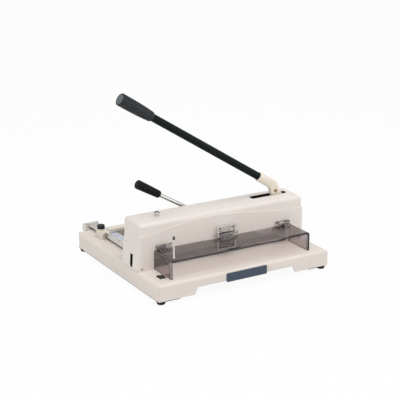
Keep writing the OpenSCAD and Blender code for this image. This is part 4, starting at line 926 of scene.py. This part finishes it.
# Hinges. Plated lugs on the housing's front hold steel pins, and rolled leaves of plated strip on the
# shield turn about them; small screws hold lugs and leaves.
LEAF_SCREWS = [(x, 89, 92.7) for x in (55.5, 67.5, 233, 249, 414, 423)]
plated_leaf = finish("plated_hinge_leaf", (144, 140, 141), 0.16, 1.0, tone=0.12, patch=90, depth=0.008,
                     edge_wear_and_highlight=(214, 212, 210), edge_wear_and_highlight_amount=0.8, marks=0.15)
plated_lug = finish("plated_hinge_lug", (204, 200, 194), 0.16, 1.0, tone=0.06, patch=120, depth=0.006,
                    marks=0.15)
dressed("hinge_brackets", "hinge_lugs", plated_lug, 0.4, 3)
dressed("hinge_pins", "hinge_pins_and_screws", plated_steel, 0.3)
dressed("shield_hinges", "hinge_leaves", plated_leaf, 0.3, 3)
plated_screws("leaf_fixings", [(2.3, 0), (2.5, -0.12), (1.5, -1.0), (1.45, -4.3), (1.1, -4.5)],
              (2.8, 0.6, 0.7), LEAF_SCREWS, "shield", "shield_screws", 6)

# Shield. A smoked acrylic sheet, bent over its long front edge and closed at both ends by glued plates.
# It is clear and glossy with a few hair scratches; the end plates' lower and rear edges are painted near
# black, painted shade for the dark look of a cut edge seen through the sheet.
SHEET = 5.0
SHIELD_LEFT, SHIELD_RIGHT = 43.2, 436.8
SHIELD_FRONT, SHIELD_REAR = 19.5, 101.6
SHIELD_LOW, SHIELD_HIGH = 43.3, 91.3
FACING_OUT = 0.7
SMOKE_DEEP = (0.42, 0.37, 0.38, 1)
SMOKE_PALE = (0.45, 0.395, 0.405, 1)
SHADOW_TINT = (0.87, 0.84, 0.84, 1)


def either_shader(tree, factor, first, second):
    """Blends two shaders by a factor socket."""
    return add_node(tree, "ShaderNodeMixShader", {"Fac": factor, 1: first, 2: second}).outputs["Shader"]


smoked_acrylic, acrylic_tree, acrylic = bare_material("smoked_acrylic_sheet")
smoke = effect(acrylic_tree, MOULDED_SKIN, Patch_Scale=6.0, Grain_Scale=60.0)
scratches = effect(acrylic_tree, HANDLING_MARKS, Scale=30.0, Amount=0.05)
ripple = add_node(acrylic_tree, "ShaderNodeBump", {"Distance": 0.01 * MM, "Height": smoke["Grain"]})
feed(acrylic_tree, acrylic, {
    "Base Color": shade_between(acrylic_tree, smoke["Patches"], SMOKE_DEEP, SMOKE_PALE),
    "Roughness": scratches["Marks"], "IOR": 1.49, "Transmission Weight": 1.0,
    "Normal": ripple.outputs["Normal"]})
tinted_shadow = add_node(acrylic_tree, "ShaderNodeBsdfTransparent", {"Color": SHADOW_TINT})
acrylic_rays = add_node(acrylic_tree, "ShaderNodeLightPath").outputs
passing_light = worked(acrylic_tree, "MAXIMUM", acrylic_rays["Is Shadow Ray"],
                       acrylic_rays["Is Diffuse Ray"])
feed(acrylic_tree, acrylic_tree.nodes["Material Output"], {"Surface": either_shader(
    acrylic_tree, passing_light, acrylic.outputs["BSDF"], tinted_shadow.outputs["BSDF"])})
# Near black for the end plates' lower and rear edges and for the joint strips: painted shade for the dark
# look of the sheet's edges seen through the clear acrylic.
acrylic_edge_painted_shade = finish("painted_acrylic_edge_shade", (40, 34, 37), 0.5, tone=0.12, patch=120, grain=1800, depth=0.02)
guard = dressed("safety_shield", "smoked_guard", smoked_acrylic, 0.5, 3)
sheet_form = bmesh.new()
sheet_form.from_mesh(guard.data)
for inner_face in (SHIELD_LEFT + SHEET, SHIELD_RIGHT - SHEET):
    bmesh.ops.bisect_plane(sheet_form, geom=sheet_form.verts[:] + sheet_form.edges[:] + sheet_form.faces[:],
                           plane_co=corner(inner_face, 0, 0), plane_no=(1, 0, 0))
sheet_form.to_mesh(guard.data)
sheet_form.free()


def on_sanded_edge(spot, facing):
    """Whether a face is on the lower or the rear edge of an end plate."""
    on_end_plate = not SHIELD_LEFT + SHEET < spot.x < SHIELD_RIGHT - SHEET
    below = facing.z < -FACING_OUT and spot.z < SHIELD_LOW + 1
    behind = facing.y > FACING_OUT and spot.y > SHIELD_REAR - 1
    return on_end_plate and (below or behind)


# The end plates' lower and rear edges get the near black painted shade.
repainted(guard, acrylic_edge_painted_shade, on_sanded_edge)

# Edge lines. The end plates are glued behind the bent sheet, and dark strips along each joint are painted
# shade for the dark look of the sheet's edges seen through the clear acrylic. At the left front corner a pale
# strip between them is a painted highlight of the lit edge.
UNDER_FACE = 0.06
JOINT_BACK = SHIELD_FRONT + SHEET
JOINT_LOW, JOINT_HIGH = SHIELD_LOW + 0.6, SHIELD_HIGH - SHEET
CORNER_LINE = 2.3
TOP_LINE = 1.2
FRONT_LINE = (2.0, 3.2)
HIGHLIGHT_STRIP = (2.2, SHEET + 1.8)
LINES_STOP = 4
HIGHLIGHT_STOPS = 3


def upright_strip(form, first, last, low, high):
    """A flat upright strip between two places in plan, from a low to a high level."""
    form.faces.new([form.verts.new(corner(*place, level))
                    for place, level in ((first, low), (last, low), (last, high), (first, high))])


# A pale strip at the left front corner: a painted highlight of the lit sheet edge.
acrylic_edge_painted_highlight = finish("painted_acrylic_edge_highlight", (236, 230, 226), 0.5, tone=0.12, patch=260, depth=0.02)
acrylic_edge_painted_highlight.node_tree.nodes["Principled BSDF"].inputs["Alpha"].default_value = 0.8
edge_highlight_form = bmesh.new()
upright_strip(edge_highlight_form, *[(SHIELD_LEFT + across, JOINT_BACK) for across in HIGHLIGHT_STRIP], JOINT_LOW,
              JOINT_HIGH - HIGHLIGHT_STOPS)
finished(edge_highlight_form, "left_cement_line", acrylic_edge_painted_highlight, "shield")
# Dark strips along each joint: painted shade.
for end_name, end, inwards in (("left", SHIELD_LEFT, 1), ("right", SHIELD_RIGHT, -1)):
    side_face, front_face = end + inwards * UNDER_FACE, SHIELD_FRONT + UNDER_FACE
    lines = bmesh.new()
    for reach, low in ((JOINT_BACK + CORNER_LINE, JOINT_LOW),
                       (SHIELD_REAR - LINES_STOP, JOINT_HIGH - TOP_LINE)):
        upright_strip(lines, (side_face, JOINT_BACK), (side_face, reach), low, JOINT_HIGH)
    upright_strip(lines, *[(end + inwards * across, front_face) for across in FRONT_LINE], JOINT_LOW,
                  JOINT_HIGH - LINES_STOP)
    finished(lines, end_name + "_joint_lines", acrylic_edge_painted_shade, "shield")

# Lift rod. A thin chromed rod screwed into the shield's front left corner, with a dark turned head.
# The hand lifts the shield by it.
ROD_SEAT = (56.5, 28, 91.3)
rod_form = turned([(0, -4.5), (1.95, -4.4), (1.95, 0.02), (3.3, 0.02), (3.5, 0.2), (3.5, 1.7), (3.3, 2.0),
                   (2.5, 2.1), (2.3, 2.4), (2.3, 45.8), (0, 46.0)], 40, edges=(4, 5))
finished(stood(rod_form, ROD_SEAT, UPRIGHT), "shield_rod", chrome, "shield",
         "shield_lift_rod")
rod_tip_black = finish("dark_rod_head", (58, 50, 44), 0.34, tone=0.12, patch=200, depth=0.02,
                       edge_wear_and_highlight=(120, 110, 100))
tip_form = turned([(2.32, 46), (2.6, 46), (2.8, 46.3), (2.8, 52.3), (2.6, 53.2), (1.7, 54.0), (0, 54.0)],
                  40, edges=(1, 3, 4))
finished(stood(tip_form, ROD_SEAT, UPRIGHT), "shield_rod_head", rod_tip_black, "shield",
         "lift_rod_tip")

# Interlock. A chromed pressed guard over the shield's middle hinge, with two bars across its front.
# A pale sprung finger hangs behind the bars and meets the raised shield.
satin_chrome = finish("satin_guard_chrome", (236, 234, 231), 0.2, 1.0, tone=0.03, patch=80, depth=0.004,
                      marks=0.15)
dressed("interlock_bracket", "interlock_guard", satin_chrome, 0.35, 3)
pale_finger = finish("pale_latch_moulding", (226, 222, 214), 0.42, tone=0.05, patch=90, depth=0.02)
dressed("latch_finger", "interlock_finger", pale_finger, 0.3)

# Studio. A plain white floor that keeps the cutter's soft shadow and an even white room, whose ceiling
# is dim only in reflections. Three large lamps light it, and the camera stands where the photograph's did.
WHITE = (1, 1, 1, 1)
FLOOR_LEVEL = -7.0
FLOOR_HALF = 15
FLOOR_GREY = (0.82, 0.82, 0.82, 1)
FLOOR_WHITE = 0.94
ROOM_LIGHT = 0.65
# height at which the ceiling starts and ends to dim, and its strength at each
CEILING_FADE = {"From Min": 0.4, "From Max": 0.55, "To Min": 0.8, "To Max": 0.06}
# place in metres, side in metres, power in watts
LAMPS = {
    "overhead_lamp": ((0.1, -0.7, 2.6), 1.6, 31),
    "front_lamp": ((1.6, -1.8, 0.7), 1.2, 5),
    "left_lamp": ((-2.2, -0.6, 1.2), 1.2, 8),
}
LAMPS_AIM = Vector((0, 0, 0.08))
CAMERA_PLACE = (-1.374373, -2.333674, 1.009808)
CAMERA_AIM = Vector((0, -0.022, 0.080))
CAMERA_LENS = 101.394
CAMERA_SHIFT = (-0.0103, 0.0725)
bpy.context.scene.view_settings.view_transform = "Standard"

floor_form = bmesh.new()
bmesh.ops.create_grid(floor_form, x_segments=1, y_segments=1, size=FLOOR_HALF)
bmesh.ops.translate(floor_form, verts=floor_form.verts, vec=(0, 0, FLOOR_LEVEL * MM))
floor = placed("floor", mesh_of(floor_form, "floor"))
floor_paint, floor_tree, floor_matt = bare_material("white_floor")
feed(floor_tree, floor_matt, {"Base Color": FLOOR_GREY, "Roughness": 0.9})
floor_glow = add_node(floor_tree, "ShaderNodeEmission")
floor_rays = add_node(floor_tree, "ShaderNodeLightPath")
floor_share = worked(floor_tree, "MULTIPLY", floor_rays.outputs["Is Camera Ray"], FLOOR_WHITE)
feed(floor_tree, floor_tree.nodes["Material Output"], {"Surface": either_shader(
    floor_tree, floor_share, floor_matt.outputs["BSDF"], floor_glow.outputs["Emission"])})
floor.data.materials.append(floor_paint)

room = bpy.data.worlds.new("studio_room")
bpy.context.scene.world = room
room.use_nodes = True
room_tree = room.node_tree
room_light = room_tree.nodes["Background"]
feed(room_tree, room_light, {"Color": WHITE, "Strength": ROOM_LIGHT})
white_wall = add_node(room_tree, "ShaderNodeBackground", {"Color": WHITE})
room_place = add_node(room_tree, "ShaderNodeTexCoord")
room_height = add_node(room_tree, "ShaderNodeSeparateXYZ", {0: room_place.outputs["Object"]}).outputs["Z"]
ceiling_fade = add_node(room_tree, "ShaderNodeMapRange", {"Value": room_height, **CEILING_FADE})
dim_ceiling = add_node(room_tree, "ShaderNodeBackground", {
    "Color": WHITE, "Strength": ceiling_fade.outputs["Result"]})
room_rays = add_node(room_tree, "ShaderNodeLightPath").outputs
mirrored = either_shader(room_tree, room_rays["Is Glossy Ray"], room_light.outputs["Background"],
                         dim_ceiling.outputs["Background"])
seen_direct = worked(room_tree, "MAXIMUM", room_rays["Is Camera Ray"], room_rays["Is Transmission Ray"])
feed(room_tree, room_tree.nodes["World Output"], {"Surface": either_shader(
    room_tree, seen_direct, mirrored, white_wall.outputs["Background"])})


def aimed(stand, place, aim):
    """Stands a lamp or a camera at a place in metres and points it at another."""
    stand.location = place
    stand.rotation_euler = (aim - Vector(place)).to_track_quat("-Z", "Y").to_euler()


for lamp_name, (lamp_place, lamp_side, power) in LAMPS.items():
    lamp = bpy.data.lights.new(lamp_name, "AREA")
    lamp.size = lamp_side
    lamp.energy = power
    aimed(placed(lamp_name, lamp), lamp_place, LAMPS_AIM)

photo_camera = bpy.data.cameras.new("photo_camera")
photo_camera.sensor_width = 36
photo_camera.lens = CAMERA_LENS
photo_camera.shift_x, photo_camera.shift_y = CAMERA_SHIFT
photo_camera.clip_end = 60
camera_stand = placed("photo_camera", photo_camera)
aimed(camera_stand, CAMERA_PLACE, CAMERA_AIM)
bpy.context.scene.camera = camera_stand
